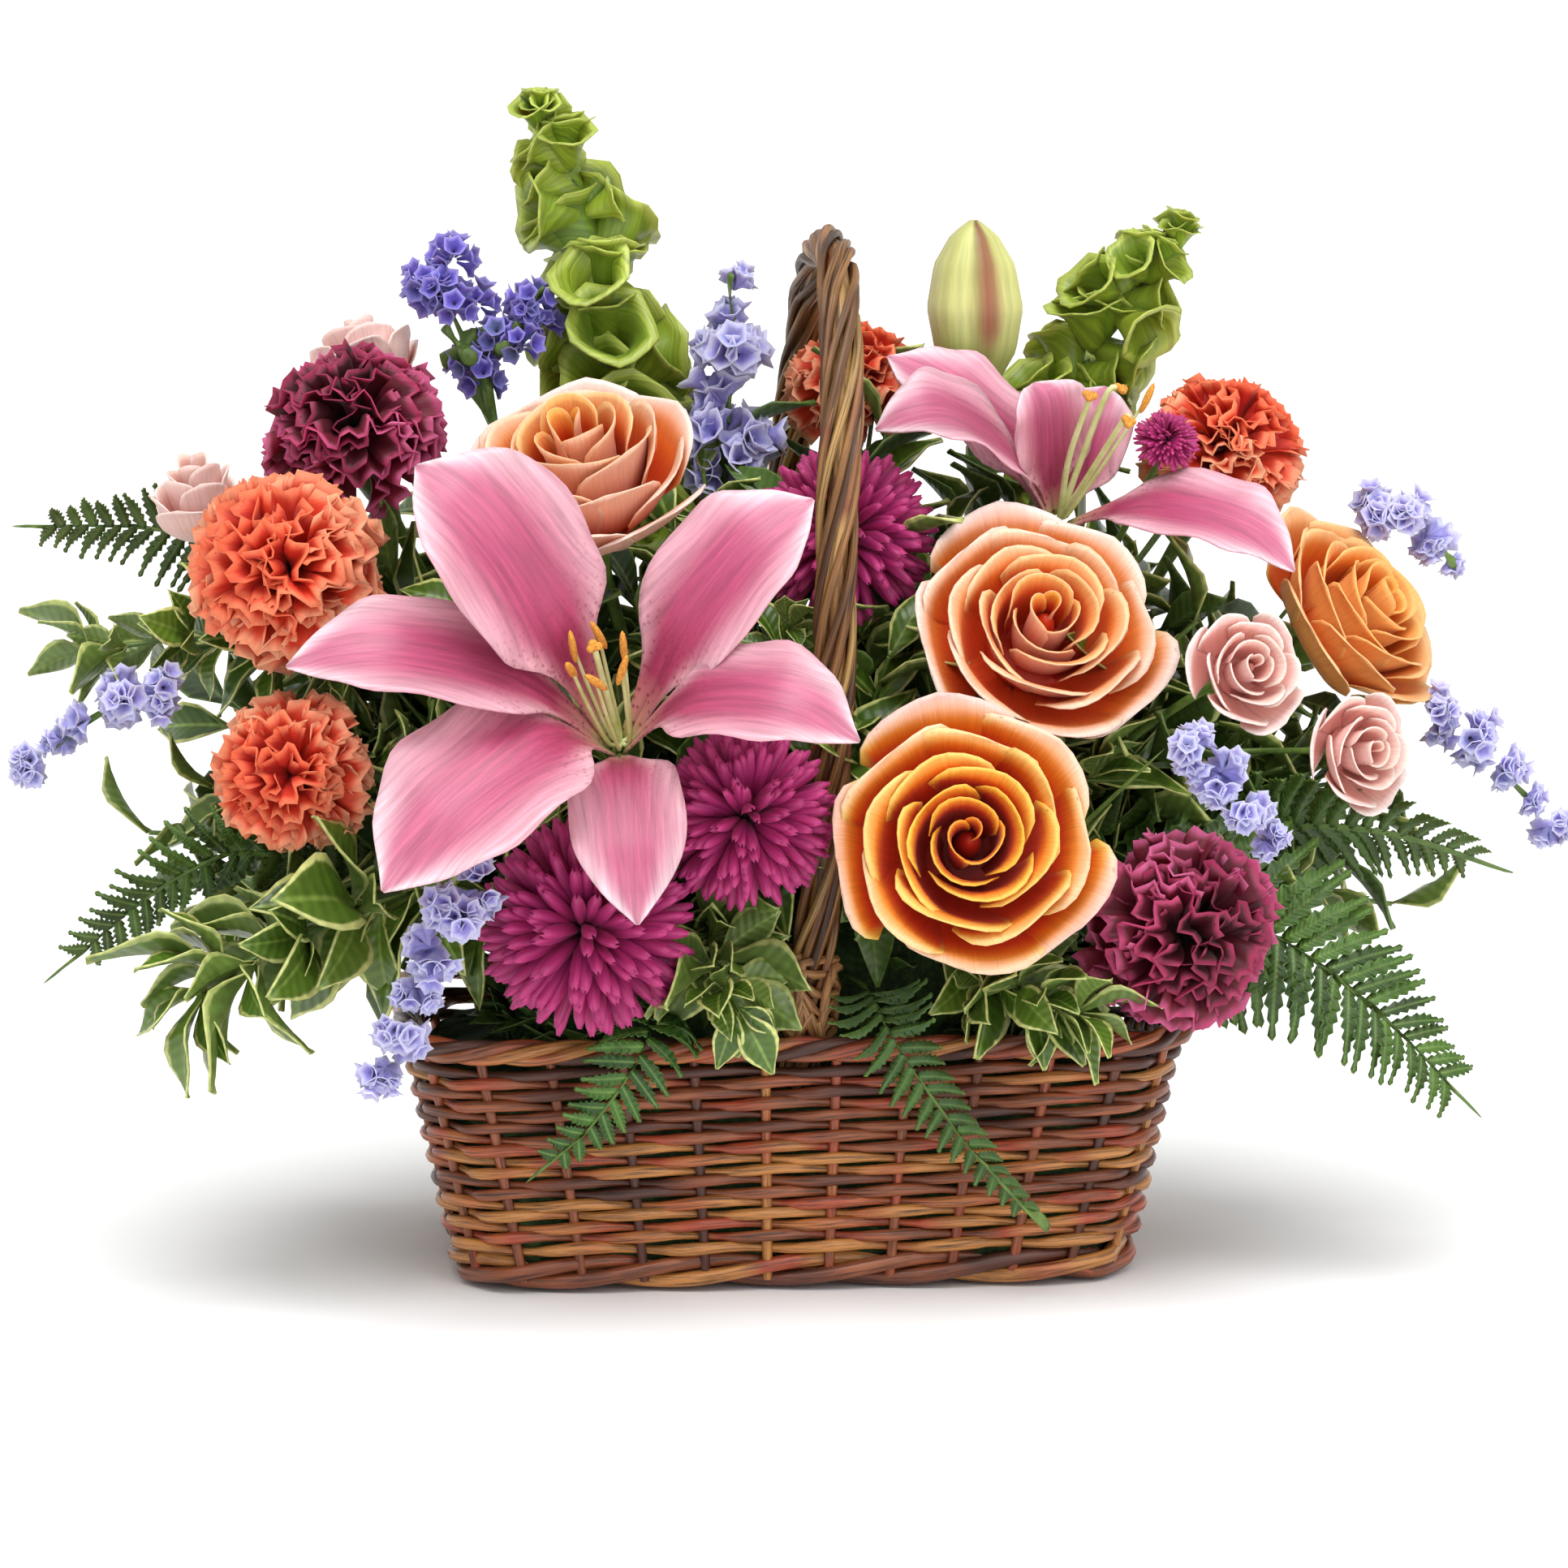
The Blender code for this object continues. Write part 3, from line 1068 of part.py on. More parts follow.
def build_foam():
    """The foam block, with a plain hole round each stem."""
    holes = []
    for rings in stem_feet:
        count = len(rings[0])
        middles = [sum(ring, Vector()) / count for ring in rings]
        down = (middles[0] - middles[1]).normalized() * SEAT_GAP
        grown_rings = []
        for k, (ring, middle) in enumerate(zip(rings, middles)):
            radius = (ring[0] - middle).length
            times = 1 + SEAT_GAP / (radius * math.cos(math.pi / count))
            grown_rings.append([middle + (p - middle) * times + (down if k == 0 else Vector()) for p in ring])
        holes.append(stacked_rings(grown_rings))
    add_node("floral_foam", [box_tray(FOAM_HALF, FOAM_BOTTOM, FOAM_TOP)], "floral foam", FOAM, 0.8, cut=holes)


def first_points():
    """Where each stem starts from, for spreading the feet in the foam."""
    starts = {name: seat_of(bloom)[0] for table in (ROSES, SPRAY_ROSES, CARNATIONS, MUMS)
              for name, bloom in table.items()}
    for members in SPRAY_STEMS.values():
        for member in members[1:]:
            del starts[member]
    starts.update((name, Vector(lily["throat"]) * MM) for name, lily in LILIES.items())
    starts.update((name, Vector(spray["line"][0]) * MM) for table in (STATICE, BELLS, FERNS, PITTOSPORUM)
                  for name, spray in table.items())
    return starts


foam_block = tree_of(box_tray(FOAM_HALF, FOAM_BOTTOM, FOAM_TOP))


def main():
    for old in list(bpy.data.objects):
        bpy.data.objects.remove(old)
    feet = spread_feet(first_points())
    build_basket()
    build_blooms()
    build_whole_flowers(feet)
    build_rose_stems(feet)
    build_lily_stems(feet)
    build_sprays(feet)
    build_foam()


main()
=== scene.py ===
import itertools
import math
from functools import partial

import bmesh
import bpy
import numpy as np
from mathutils import Matrix, Vector
from mathutils.bvhtree import BVHTree


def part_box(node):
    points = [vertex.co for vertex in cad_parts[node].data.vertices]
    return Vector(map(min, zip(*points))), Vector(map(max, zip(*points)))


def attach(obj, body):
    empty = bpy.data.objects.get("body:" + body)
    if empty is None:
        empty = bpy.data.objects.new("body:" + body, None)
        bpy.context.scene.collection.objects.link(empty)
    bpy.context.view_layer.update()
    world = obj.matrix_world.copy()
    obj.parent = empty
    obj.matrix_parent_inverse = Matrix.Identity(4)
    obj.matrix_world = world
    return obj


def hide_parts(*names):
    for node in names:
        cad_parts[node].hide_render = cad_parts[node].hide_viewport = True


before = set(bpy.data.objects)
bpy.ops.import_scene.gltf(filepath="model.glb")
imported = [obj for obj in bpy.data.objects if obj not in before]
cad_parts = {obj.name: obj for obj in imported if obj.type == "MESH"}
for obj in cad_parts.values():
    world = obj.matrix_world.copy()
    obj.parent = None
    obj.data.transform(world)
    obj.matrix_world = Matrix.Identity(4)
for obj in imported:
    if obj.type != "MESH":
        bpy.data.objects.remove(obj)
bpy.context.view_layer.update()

dice = np.random.default_rng(11)
fullTurn = 2 * math.pi
goldenTurn = math.radians(137.508)
up = np.array((0.0, 0.0, 1.0))
print("frame loaded:", len(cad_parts), "nodes")


# Small helpers

def linear(text):  # an sRGB hex colour in linear light
    parts = [int(text[i:i + 2], 16) / 255 for i in (1, 3, 5)]
    return (*(c / 12.92 if c <= 0.04045 else ((c + 0.055) / 1.055) ** 2.4 for c in parts), 1.0)


def feed(node, inputs):  # an input takes a value, a socket, or a node for its first output in use
    for socket, value in inputs.items():
        if isinstance(value, bpy.types.Node):
            value = next(output for output in value.outputs if output.enabled)
        if isinstance(value, bpy.types.NodeSocket):
            node.id_data.links.new(value, node.inputs[socket])
        else:
            node.inputs[socket].default_value = value


def addNode(tree, kind, inputs=None, **settings):
    node = tree.nodes.new(kind)
    for name, value in settings.items():
        setattr(node, name, value)
    feed(node, inputs or {})
    return node


def fillRamp(node, stops):  # stops are (place, hex colour)
    ramp = node.color_ramp
    ramp.elements[0].position, ramp.elements[0].color = stops[0][0], linear(stops[0][1])
    ramp.elements[1].position, ramp.elements[1].color = stops[-1][0], linear(stops[-1][1])
    for place, colour in stops[1:-1]:
        ramp.elements.new(place).color = linear(colour)
    return node


def unit(vectors):  # scaled to a length of one
    return vectors / np.maximum(np.linalg.norm(vectors, axis=-1, keepdims=True), 1e-12)


def smooth(x, low, high):  # an even step from 0 to 1
    t = np.clip((np.asarray(x, float) - low) / (high - low), 0, 1)
    return t * t * (3 - 2 * t)


def lengthsAlong(line):  # how far each point lies along a line
    return np.concatenate([[0], np.cumsum(np.linalg.norm(np.diff(line, axis=0), axis=1))])


def acrossAxes(axis, roll=0.0):  # two directions square to an axis
    side = np.cross(up, axis) if abs(axis[2]) < 0.97 else np.array((1.0, 0.0, 0.0))
    side = unit(side)
    other = np.cross(axis, side)
    return (side * math.cos(roll) + other * math.sin(roll), other * math.cos(roll) - side * math.sin(roll))


def around(base, ways, reach, angle):  # points at some reach and angle from a base, along two directions
    return base + ways[0] * (reach * np.cos(angle))[..., None] + ways[1] * (reach * np.sin(angle))[..., None]


def frameOf(side, way):  # a part's x, y and z as the columns of a matrix
    return np.stack([side, way, np.cross(side, way)], -1)


def frameFacing(way, face):  # y along way, z as near to face as it goes
    return frameOf(unit(np.cross(way, face)), way)


def spread(line, count, closed=False):  # a polyline at even steps along its length
    line = np.asarray(line, float)
    if closed:
        line = np.vstack([line, line[:1]])
    reach = lengthsAlong(line)
    at = np.linspace(0, reach[-1], count + 1)[:-1] if closed else np.linspace(0, reach[-1], count)
    return np.stack([np.interp(at, reach, line[:, k]) for k in range(3)], -1)


def rounded(line, count):  # a smooth curve through a few points
    line = np.asarray(line, float)
    ends = np.vstack([2 * line[0] - line[1], line, 2 * line[-1] - line[-2]])
    out = []
    for t in np.linspace(0, len(line) - 1, count):
        k = min(int(t), len(line) - 2)
        s = t - k
        a, b, c, d = ends[k:k + 4]
        out.append(0.5 * ((2 * b) + (c - a) * s + (2 * a - 5 * b + 4 * c - d) * s * s
                          + (3 * b - a - 3 * c + d) * s ** 3))
    return np.array(out)


# Meshes: a shell is (points, faces, attributes)

def sheetShell(front, thick, ring=False, **marks):  # a closed thin sheet behind a grid of points
    rows, cols = front.shape[:2]
    if ring:
        aside = (np.roll(front, -1, 1) - np.roll(front, 1, 1)) / 2
    else:
        aside = np.gradient(front, axis=1)
    normal = unit(np.cross(aside, np.gradient(front, axis=0)))
    count = rows * cols
    points = np.concatenate([front.reshape(-1, 3), (front - normal * thick).reshape(-1, 3)])
    i = np.arange(count).reshape(rows, cols)
    if ring:
        i = np.hstack([i, i[:, :1]])
        loops = [i[0], i[-1][::-1]]
    else:
        loops = [np.concatenate([i[0, :-1], i[:-1, -1], i[-1, :0:-1], i[:0:-1, 0], i[0, :1]])]
    quads = np.stack([i[:-1, :-1], i[:-1, 1:], i[1:, 1:], i[1:, :-1]], -1).reshape(-1, 4)
    rims = [np.stack([loop[1:], loop[:-1], loop[:-1] + count, loop[1:] + count], -1) for loop in loops]
    data = {name: np.tile(np.broadcast_to(value, (rows, cols)).ravel(), 2) for name, value in marks.items()}
    data["under"] = np.repeat((0.0, 1.0), count)
    return points, np.concatenate([quads, quads[:, ::-1] + count, *rims]).tolist(), data


def closedFaces(rows, cols, upwards):  # round a grid of rings and over its two end points, which stand last
    last, faces = (rows - 1) * cols, []
    for a in range(last):
        b = a + 1 if (a + 1) % cols else a + 1 - cols
        faces.append((a, b, b + cols, a + cols))
    for a in range(cols):
        b = (a + 1) % cols
        faces += [(rows * cols, b, a), (rows * cols + 1, last + a, last + b)]
    return faces if upwards else [(face[0], *face[:0:-1]) for face in faces]


def ballShell(middle, ways, sizes, rows=6, cols=10):  # an ellipsoid
    v = np.linspace(0, math.pi, rows)[1:-1, None]
    u = np.linspace(0, fullTurn, cols, endpoint=False)[None, :]
    grid = np.stack([np.sin(v) * np.cos(u), np.sin(v) * np.sin(u), np.cos(v) + 0 * u], -1).reshape(-1, 3)
    local = np.concatenate([grid, [(0, 0, 1), (0, 0, -1)]]) * np.array(sizes)
    return middle + local @ np.array(ways), closedFaces(rows - 2, cols, upwards=False), {}


def newMesh(name, points, edges, faces, finish=None, **marks):
    mesh = bpy.data.meshes.new(name)
    mesh.from_pydata(np.asarray(points).tolist(), edges, faces)
    for key, values in marks.items():
        values = np.asarray(values, np.float32)
        kind, field = ("FLOAT", "value") if values.ndim == 1 else ("FLOAT_VECTOR", "vector")
        mesh.attributes.new(key, kind, "POINT").data.foreach_set(field, values.ravel())
    if finish:
        mesh.materials.append(finish)
    return mesh


def meshOf(name, shells, finish):
    points, faces, start, marks = [], [], 0, {}
    names = sorted({key for shell in shells for key in shell[2]})
    for shellPoints, shellFaces, data in shells:
        points.append(shellPoints)
        faces += [[i + start for i in face] for face in shellFaces]
        start += len(shellPoints)
        for key in names:
            marks.setdefault(key, []).append(np.broadcast_to(data.get(key, 0.0), len(shellPoints)))
    return newMesh(name, np.concatenate(points), [], faces, finish,
                   **{key: np.concatenate(values) for key, values in marks.items()})


def putInScene(name, data):
    holder = bpy.data.objects.new(name, data)
    bpy.context.scene.collection.objects.link(holder)
    return holder


def takeMesh(holder):  # the mesh that a holder's modifiers make; the holder goes
    bpy.context.view_layer.update()
    mesh = bpy.data.meshes.new_from_object(holder.evaluated_get(bpy.context.evaluated_depsgraph_get()))
    bpy.data.objects.remove(holder)
    return mesh


def addPiece(name, mesh, nodes):
    piece = putInScene(name, mesh)
    mesh.name = name
    mesh.shade_smooth()
    for key in ("turn", "size", "thick"):
        if key in mesh.attributes:
            mesh.attributes.remove(mesh.attributes[key])
    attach(piece, "root")
    if nodes:
        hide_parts(*nodes)


def joinMeshes(*meshes):  # keeps each mesh's own finish and attributes
    parts = [putInScene("part", mesh) for mesh in meshes]
    with bpy.context.temp_override(active_object=parts[0], selected_editable_objects=parts):
        bpy.ops.object.join()
    mesh = parts[0].data
    bpy.data.objects.remove(parts[0])
    return mesh


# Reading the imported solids

mergeWithin = 2e-5      # points nearer than this are one
footReach = 0.007       # from the middle of a stem's foot to its points
largestJoint = 40       # points in a group of blades that a stalk's end holds together


def solidOf(name):  # merged points, faces, and which points each point is linked to
    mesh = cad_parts[name].data
    points = np.empty(len(mesh.vertices) * 3)
    mesh.vertices.foreach_get("co", points)
    points = points.reshape(-1, 3)
    cells = np.round(points / mergeWithin).astype(int)
    _, first, index = np.unique(cells, axis=0, return_index=True, return_inverse=True)
    index = index.reshape(-1)
    faces = [tuple(index[list(p.vertices)]) for p in mesh.polygons]
    faces = [f for f in faces if len(set(f)) == 3]
    links = {}
    for face in faces:
        for a, b in itertools.permutations(face, 2):
            links.setdefault(a, set()).add(b)
    return points[first], faces, links


def boxOf(name):
    return (np.array(corner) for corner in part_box(name))


def groupsOf(members, links):  # points that hang together
    left, groups = set(members), []
    while left:
        group, edge = set(), [left.pop()]
        while edge:
            here = edge.pop()
            group.add(here)
            found = links[here] & left
            left -= found
            edge += found
        groups.append(group)
    return groups


def ringsUp(links, start):  # rings of linked points, each a step further from the first
    seen, rings = set(start), [start]
    while True:
        ring = {k for j in rings[-1] for k in links[j]} - seen
        if not ring:
            return rings
        seen |= ring
        rings.append(ring)


def stalkTriples(faces, links):  # three linked points without a face of their own go round a stalk
    flat = {tuple(sorted(face)) for face in faces}
    return [(a, b, c) for a in links for b in links[a] for c in links[a] & links[b]
            if a < b < c and (a, b, c) not in flat]


def endParts(group, faces, links, size):  # the blades in a group, also round the stalk's closed end
    if len(group) == size:
        return [group]
    if len(group) < largestJoint:
        for face in faces:
            if group.issuperset(face):
                parts = groupsOf(group - set(face), links)
                if parts and all(len(part) == size for part in parts):
                    return parts
    return []


def bladesOf(name, size):  # leaves or florets of so many points that stand out of a three-sided stalk
    points, faces, links = solidOf(name)
    stalk = {i for triple in stalkTriples(faces, links) for i in triple}
    blades = []
    for group in groupsOf(set(links) - stalk, links):
        for part in endParts(group, faces, links, size):
            root = points[list({k for j in part for k in links[j]} - part)].mean(0)
            blades.append((part, root))
    return points, faces, blades, set().union(*(part for part, _ in blades))


def tipOf(member, root):
    return member[np.argmax(np.linalg.norm(member - root, axis=1))]


def bladeFrame(points, group, root):  # length, width, and the directions across, along and up
    member = points[list(group)]
    tip = tipOf(member, root)
    along = unit(tip - root)
    rest = member - member.mean(0)
    rest = rest - np.outer(rest @ along, along)
    _, _, ways = np.linalg.svd(rest)
    across = unit(ways[0] - along * (ways[0] @ along))
    normal = np.cross(across, along)
    if normal[2] < 0:
        across, normal = -across, -normal
    return np.linalg.norm(tip - root), np.ptp(rest @ across), across, along, normal


def levelsOf(name):  # rings of points up a stem from its foot in the foam
    points, faces, links = solidOf(name)
    low, high = boxOf("floral_foam")
    inside = [i for i in links if all(low < points[i]) and all(points[i] < high)]
    foot = points[min(inside, key=lambda i: points[i][2])]
    return points, faces, ringsUp(links, {i for i in inside if np.linalg.norm(points[i] - foot) < footReach})


def restOf(points, faces, taken, finish):  # the solid's mesh less some points, closed and rounded
    work = bmesh.new()
    made = [work.verts.new(p) for p in points]
    for face in faces:
        if not taken.intersection(face):
            work.faces.new([made[i] for i in face])
    bmesh.ops.delete(work, geom=[v for v in work.verts if not v.link_faces], context="VERTS")
    bmesh.ops.holes_fill(work, edges=[e for e in work.edges if e.is_boundary], sides=0)
    bmesh.ops.triangulate(work, faces=[f for f in work.faces if len(f.verts) > 4])
    bmesh.ops.recalc_face_normals(work, faces=work.faces)
    mesh = bpy.data.meshes.new("rest")
    work.to_mesh(mesh)
    work.free()
    mesh.materials.append(finish)
    holder = putInScene("rest", mesh)
    rounder = holder.modifiers.new("round", "SUBSURF")
    rounder.levels = rounder.render_levels = 1
    return takeMesh(holder)


# Geometry Nodes trees

def startTree(name, *inputs):
    tree = bpy.data.node_groups.new(name, "GeometryNodeTree")
    for label, kind in (("Geometry", "Geometry"), ("Finish", "Material"), *inputs, ("Seed", "Int")):
        tree.interface.new_socket(label, in_out="INPUT", socket_type=f"NodeSocket{kind}")
    tree.interface.new_socket("Geometry", in_out="OUTPUT", socket_type="NodeSocketGeometry")
    return tree, partial(addNode, tree)


def growScatter():  # one part on every point, turned and sized by the point's attributes
    tree, add = startTree("scatterParts", ("Part", "Object"), ("Size", "Float"), ("Size change", "Float"),
                          ("Tilt", "Float"))
    given = add("NodeGroupInput").outputs
    turn, size = (add("GeometryNodeInputNamedAttribute", {"Name": name}, data_type="FLOAT_VECTOR")
                  for name in ("turn", "size"))
    swing = add("FunctionNodeRandomValue", {0: (-1, -1, -1), 1: (1, 1, 1), 8: given["Seed"]},
                data_type="FLOAT_VECTOR")
    lean = add("ShaderNodeVectorMath", {0: swing, "Scale": given["Tilt"]}, operation="SCALE")
    mainTurn, leanTurn = (add("FunctionNodeEulerToRotation", {0: way}) for way in (turn, lean))
    bothTurns = add("FunctionNodeRotateRotation", {0: mainTurn, 1: leanTurn}, rotation_space="LOCAL")
    seeds = [add("ShaderNodeMath", {0: given["Seed"], 1: shift}, operation="ADD") for shift in (31.0, 57.0)]
    luck, tone = (add("FunctionNodeRandomValue", {2: 0.0, 3: 1.0, 8: seed}, data_type="FLOAT")
                  for seed in seeds)
    less = add("ShaderNodeMath", {0: luck, 1: given["Size change"]}, operation="MULTIPLY")
    share = add("ShaderNodeMath", {0: 1.0, 1: less}, operation="SUBTRACT")
    whole = add("ShaderNodeMath", {0: share, 1: given["Size"]}, operation="MULTIPLY")
    scale = add("ShaderNodeVectorMath", {0: size, "Scale": whole}, operation="SCALE")
    part = add("GeometryNodeObjectInfo", {"Object": given["Part"]}).outputs["Geometry"]
    placed = add("GeometryNodeInstanceOnPoints", {"Points": given["Geometry"], "Instance": part,
                                                  "Rotation": bothTurns, "Scale": scale})
    toned = add("GeometryNodeStoreNamedAttribute", {"Geometry": placed, "Name": "tone", "Value": tone},
                data_type="FLOAT", domain="INSTANCE")
    solid = add("GeometryNodeRealizeInstances", {0: toned})
    coated = add("GeometryNodeSetMaterial", {"Geometry": solid, "Material": given["Finish"]})
    add("NodeGroupOutput", {0: coated})
    return tree


def growRods():  # a round rod along every path, a little uneven, with marks for its bark
    tree, add = startTree("roundRods", ("Sides", "Int"), ("Unevenness", "Float"), ("Lump length", "Float"))
    given = add("NodeGroupInput").outputs
    paths = add("GeometryNodeMeshToCurve", {"Mesh": given["Geometry"]})
    length = add("GeometryNodeSplineParameter").outputs["Length"]
    which = add("GeometryNodeCurveOfPoint").outputs["Curve Index"]
    tone = add("FunctionNodeRandomValue", {2: 0.0, 3: 1.0, 7: which, 8: given["Seed"]}, data_type="FLOAT")
    for name, value in (("along", length), ("tone", tone)):
        paths = add("GeometryNodeStoreNamedAttribute", {"Geometry": paths, "Name": name, "Value": value},
                    data_type="FLOAT", domain="POINT")
    circle = add("GeometryNodeCurvePrimitiveCircle", {"Resolution": given["Sides"], "Radius": 1.0})
    place = add("GeometryNodeInputPosition")
    ring = add("GeometryNodeStoreNamedAttribute", {"Geometry": circle, "Name": "round", "Value": place},
               data_type="FLOAT_VECTOR", domain="POINT")
    thick = add("GeometryNodeInputNamedAttribute", {"Name": "thick"}, data_type="FLOAT")
    perLump = add("ShaderNodeMath", {0: 1.0, 1: given["Lump length"]}, operation="DIVIDE")
    lumps = add("ShaderNodeTexNoise", {"Vector": place, "Scale": perLump, "Detail": 1.0})
    centred = add("ShaderNodeMath", {0: lumps, 1: 0.5}, operation="SUBTRACT")
    swing = add("ShaderNodeMath", {0: centred, 1: given["Unevenness"]}, operation="MULTIPLY")
    factor = add("ShaderNodeMath", {0: swing, 1: 1.0}, operation="ADD")
    radius = add("ShaderNodeMath", {0: factor, 1: thick}, operation="MULTIPLY")
    swept = add("GeometryNodeCurveToMesh", {"Curve": paths, "Profile Curve": ring, "Scale": radius,
                                            "Fill Caps": True})
    solid = add("GeometryNodeRealizeInstances", {0: swept})
    coated = add("GeometryNodeSetMaterial", {"Geometry": solid, "Material": given["Finish"]})
    add("NodeGroupOutput", {0: coated})
    return tree


scatterTree, rodTree = growScatter(), growRods()


def runTree(tree, source, settings):
    holder = putInScene("source", source)
    step = holder.modifiers.new("build", "NODES")
    step.node_group = tree
    for item in tree.interface.items_tree:
        if item.in_out == "INPUT" and item.name in settings:
            step[item.identifier] = settings[item.name]
    return takeMesh(holder)


def scatter(spots, part, finish, seed, change, tilt, **marks):  # a spot is a place, a frame and three sizes
    places, frames, sizes = zip(*spots)
    turns = [Matrix([list(row) for row in turn]).to_euler() for turn in frames]
    holder = putInScene("part", part)
    mesh = runTree(scatterTree, newMesh("places", places, [], [], turn=turns, size=sizes, **marks), {
        "Part": holder, "Finish": finish, "Size": 1.0, "Size change": change, "Tilt": tilt, "Seed": seed})
    bpy.data.objects.remove(holder)
    return mesh


def rods(lines, radii, finish, sides=8, unevenness=0.3, lump=0.03, seed=1, closed=False):
    points, edges, thick = [], [], []
    for line, radius in zip(lines, radii):
        start, count = len(points), len(line)
        points += [tuple(p) for p in line]
        edges += [(start + i, start + i + 1) for i in range(count - 1)]
        if closed:
            edges.append((start + count - 1, start))
        thick += list(np.broadcast_to(radius, count))
    return runTree(rodTree, newMesh("paths", points, edges, [], thick=thick), {
        "Finish": finish, "Sides": sides, "Unevenness": unevenness, "Lump length": lump, "Seed": seed})


# Finishes

def startFinish(name, inputs):
    finish = bpy.data.materials.new(name)
    finish.use_nodes = True
    shader = finish.node_tree.nodes["Principled BSDF"]
    feed(shader, inputs)
    return finish, shader, partial(addNode, finish.node_tree)


def petalFinish(name, body, edge, edgeFrom, vein=0.12, veinWidth=0.7, rough=0.5, velvet=0.05, back=None,
                fleck=0.0):
    # body and edge: colours from the heart of the bloom out; veins run along each petal, veinWidth mm apart
    finish, shader, add = startFinish(name, {
        "Roughness": rough, "Sheen Weight": velvet, "Sheen Roughness": 0.4, "Subsurface Weight": 0.12,
        "Subsurface Scale": 0.004, "Subsurface Radius": (1.0, 0.45, 0.3)})
    depth, lip, along, across, tone, under = (
        add("ShaderNodeAttribute", attribute_name=mark).outputs["Fac"]
        for mark in ("depth", "lip", "along", "across", "tone", "under"))
    bodyColour, edgeColour = (fillRamp(add("ShaderNodeValToRGB", {0: depth}), stops)
                              for stops in (body, edge))
    lipMask = add("ShaderNodeMapRange", {0: lip, 1: edgeFrom, 2: 1.0}, interpolation_type="SMOOTHSTEP")
    colour = add("ShaderNodeMix", {0: lipMask, 6: bodyColour, 7: edgeColour}, data_type="RGBA")
    if back:
        backShare = add("ShaderNodeMath", {0: under, 1: 0.75}, operation="MULTIPLY")
        colour = add("ShaderNodeMix", {0: backShare, 6: colour, 7: linear(back)}, data_type="RGBA")
    sideways, lengthways, shifted = (
        add("ShaderNodeMath", {0: mark, 1: times}, operation="MULTIPLY")
        for mark, times in ((across, 1 / veinWidth), (along, 1 / 28), (tone, 43.0)))
    place = add("ShaderNodeCombineXYZ", {0: sideways, 1: lengthways, 2: shifted})
    veins = add("ShaderNodeTexNoise", {0: place, "Scale": 1.0, "Detail": 3.0, "Roughness": 0.6})
    cast = add("ShaderNodeMapRange", {0: veins, 1: 0.3, 2: 0.7, 3: 1 - vein, 4: 1 + 0.6 * vein})
    toned = add("ShaderNodeMapRange", {0: tone, 3: 0.9, 4: 1.08})
    light = add("ShaderNodeMath", {0: cast, 1: toned}, operation="MULTIPLY")
    shade = add("ShaderNodeVectorMath", {0: colour, "Scale": light}, operation="SCALE")
    if fleck:  # small raised dark spots near the throat
        spots = add("ShaderNodeTexVoronoi", {0: add("ShaderNodeTexCoord").outputs["Object"], "Scale": 420.0})
        near = add("ShaderNodeMapRange", {0: depth, 1: 0.12, 2: 0.5, 3: fleck, 4: 0.0})
        dot = add("ShaderNodeMapRange", {0: spots, 1: 0.22, 2: 0.34, 3: 1.0, 4: 0.0})
        both = add("ShaderNodeMath", {0: dot, 1: near}, operation="MULTIPLY")
        shade = add("ShaderNodeMix", {0: both, 6: shade, 7: linear("#8E2A4E")}, data_type="RGBA")
    bump = add("ShaderNodeBump", {"Height": veins, "Strength": 0.35, "Distance": 0.0006})
    feed(shader, {"Base Color": shade, "Normal": bump})
    return finish


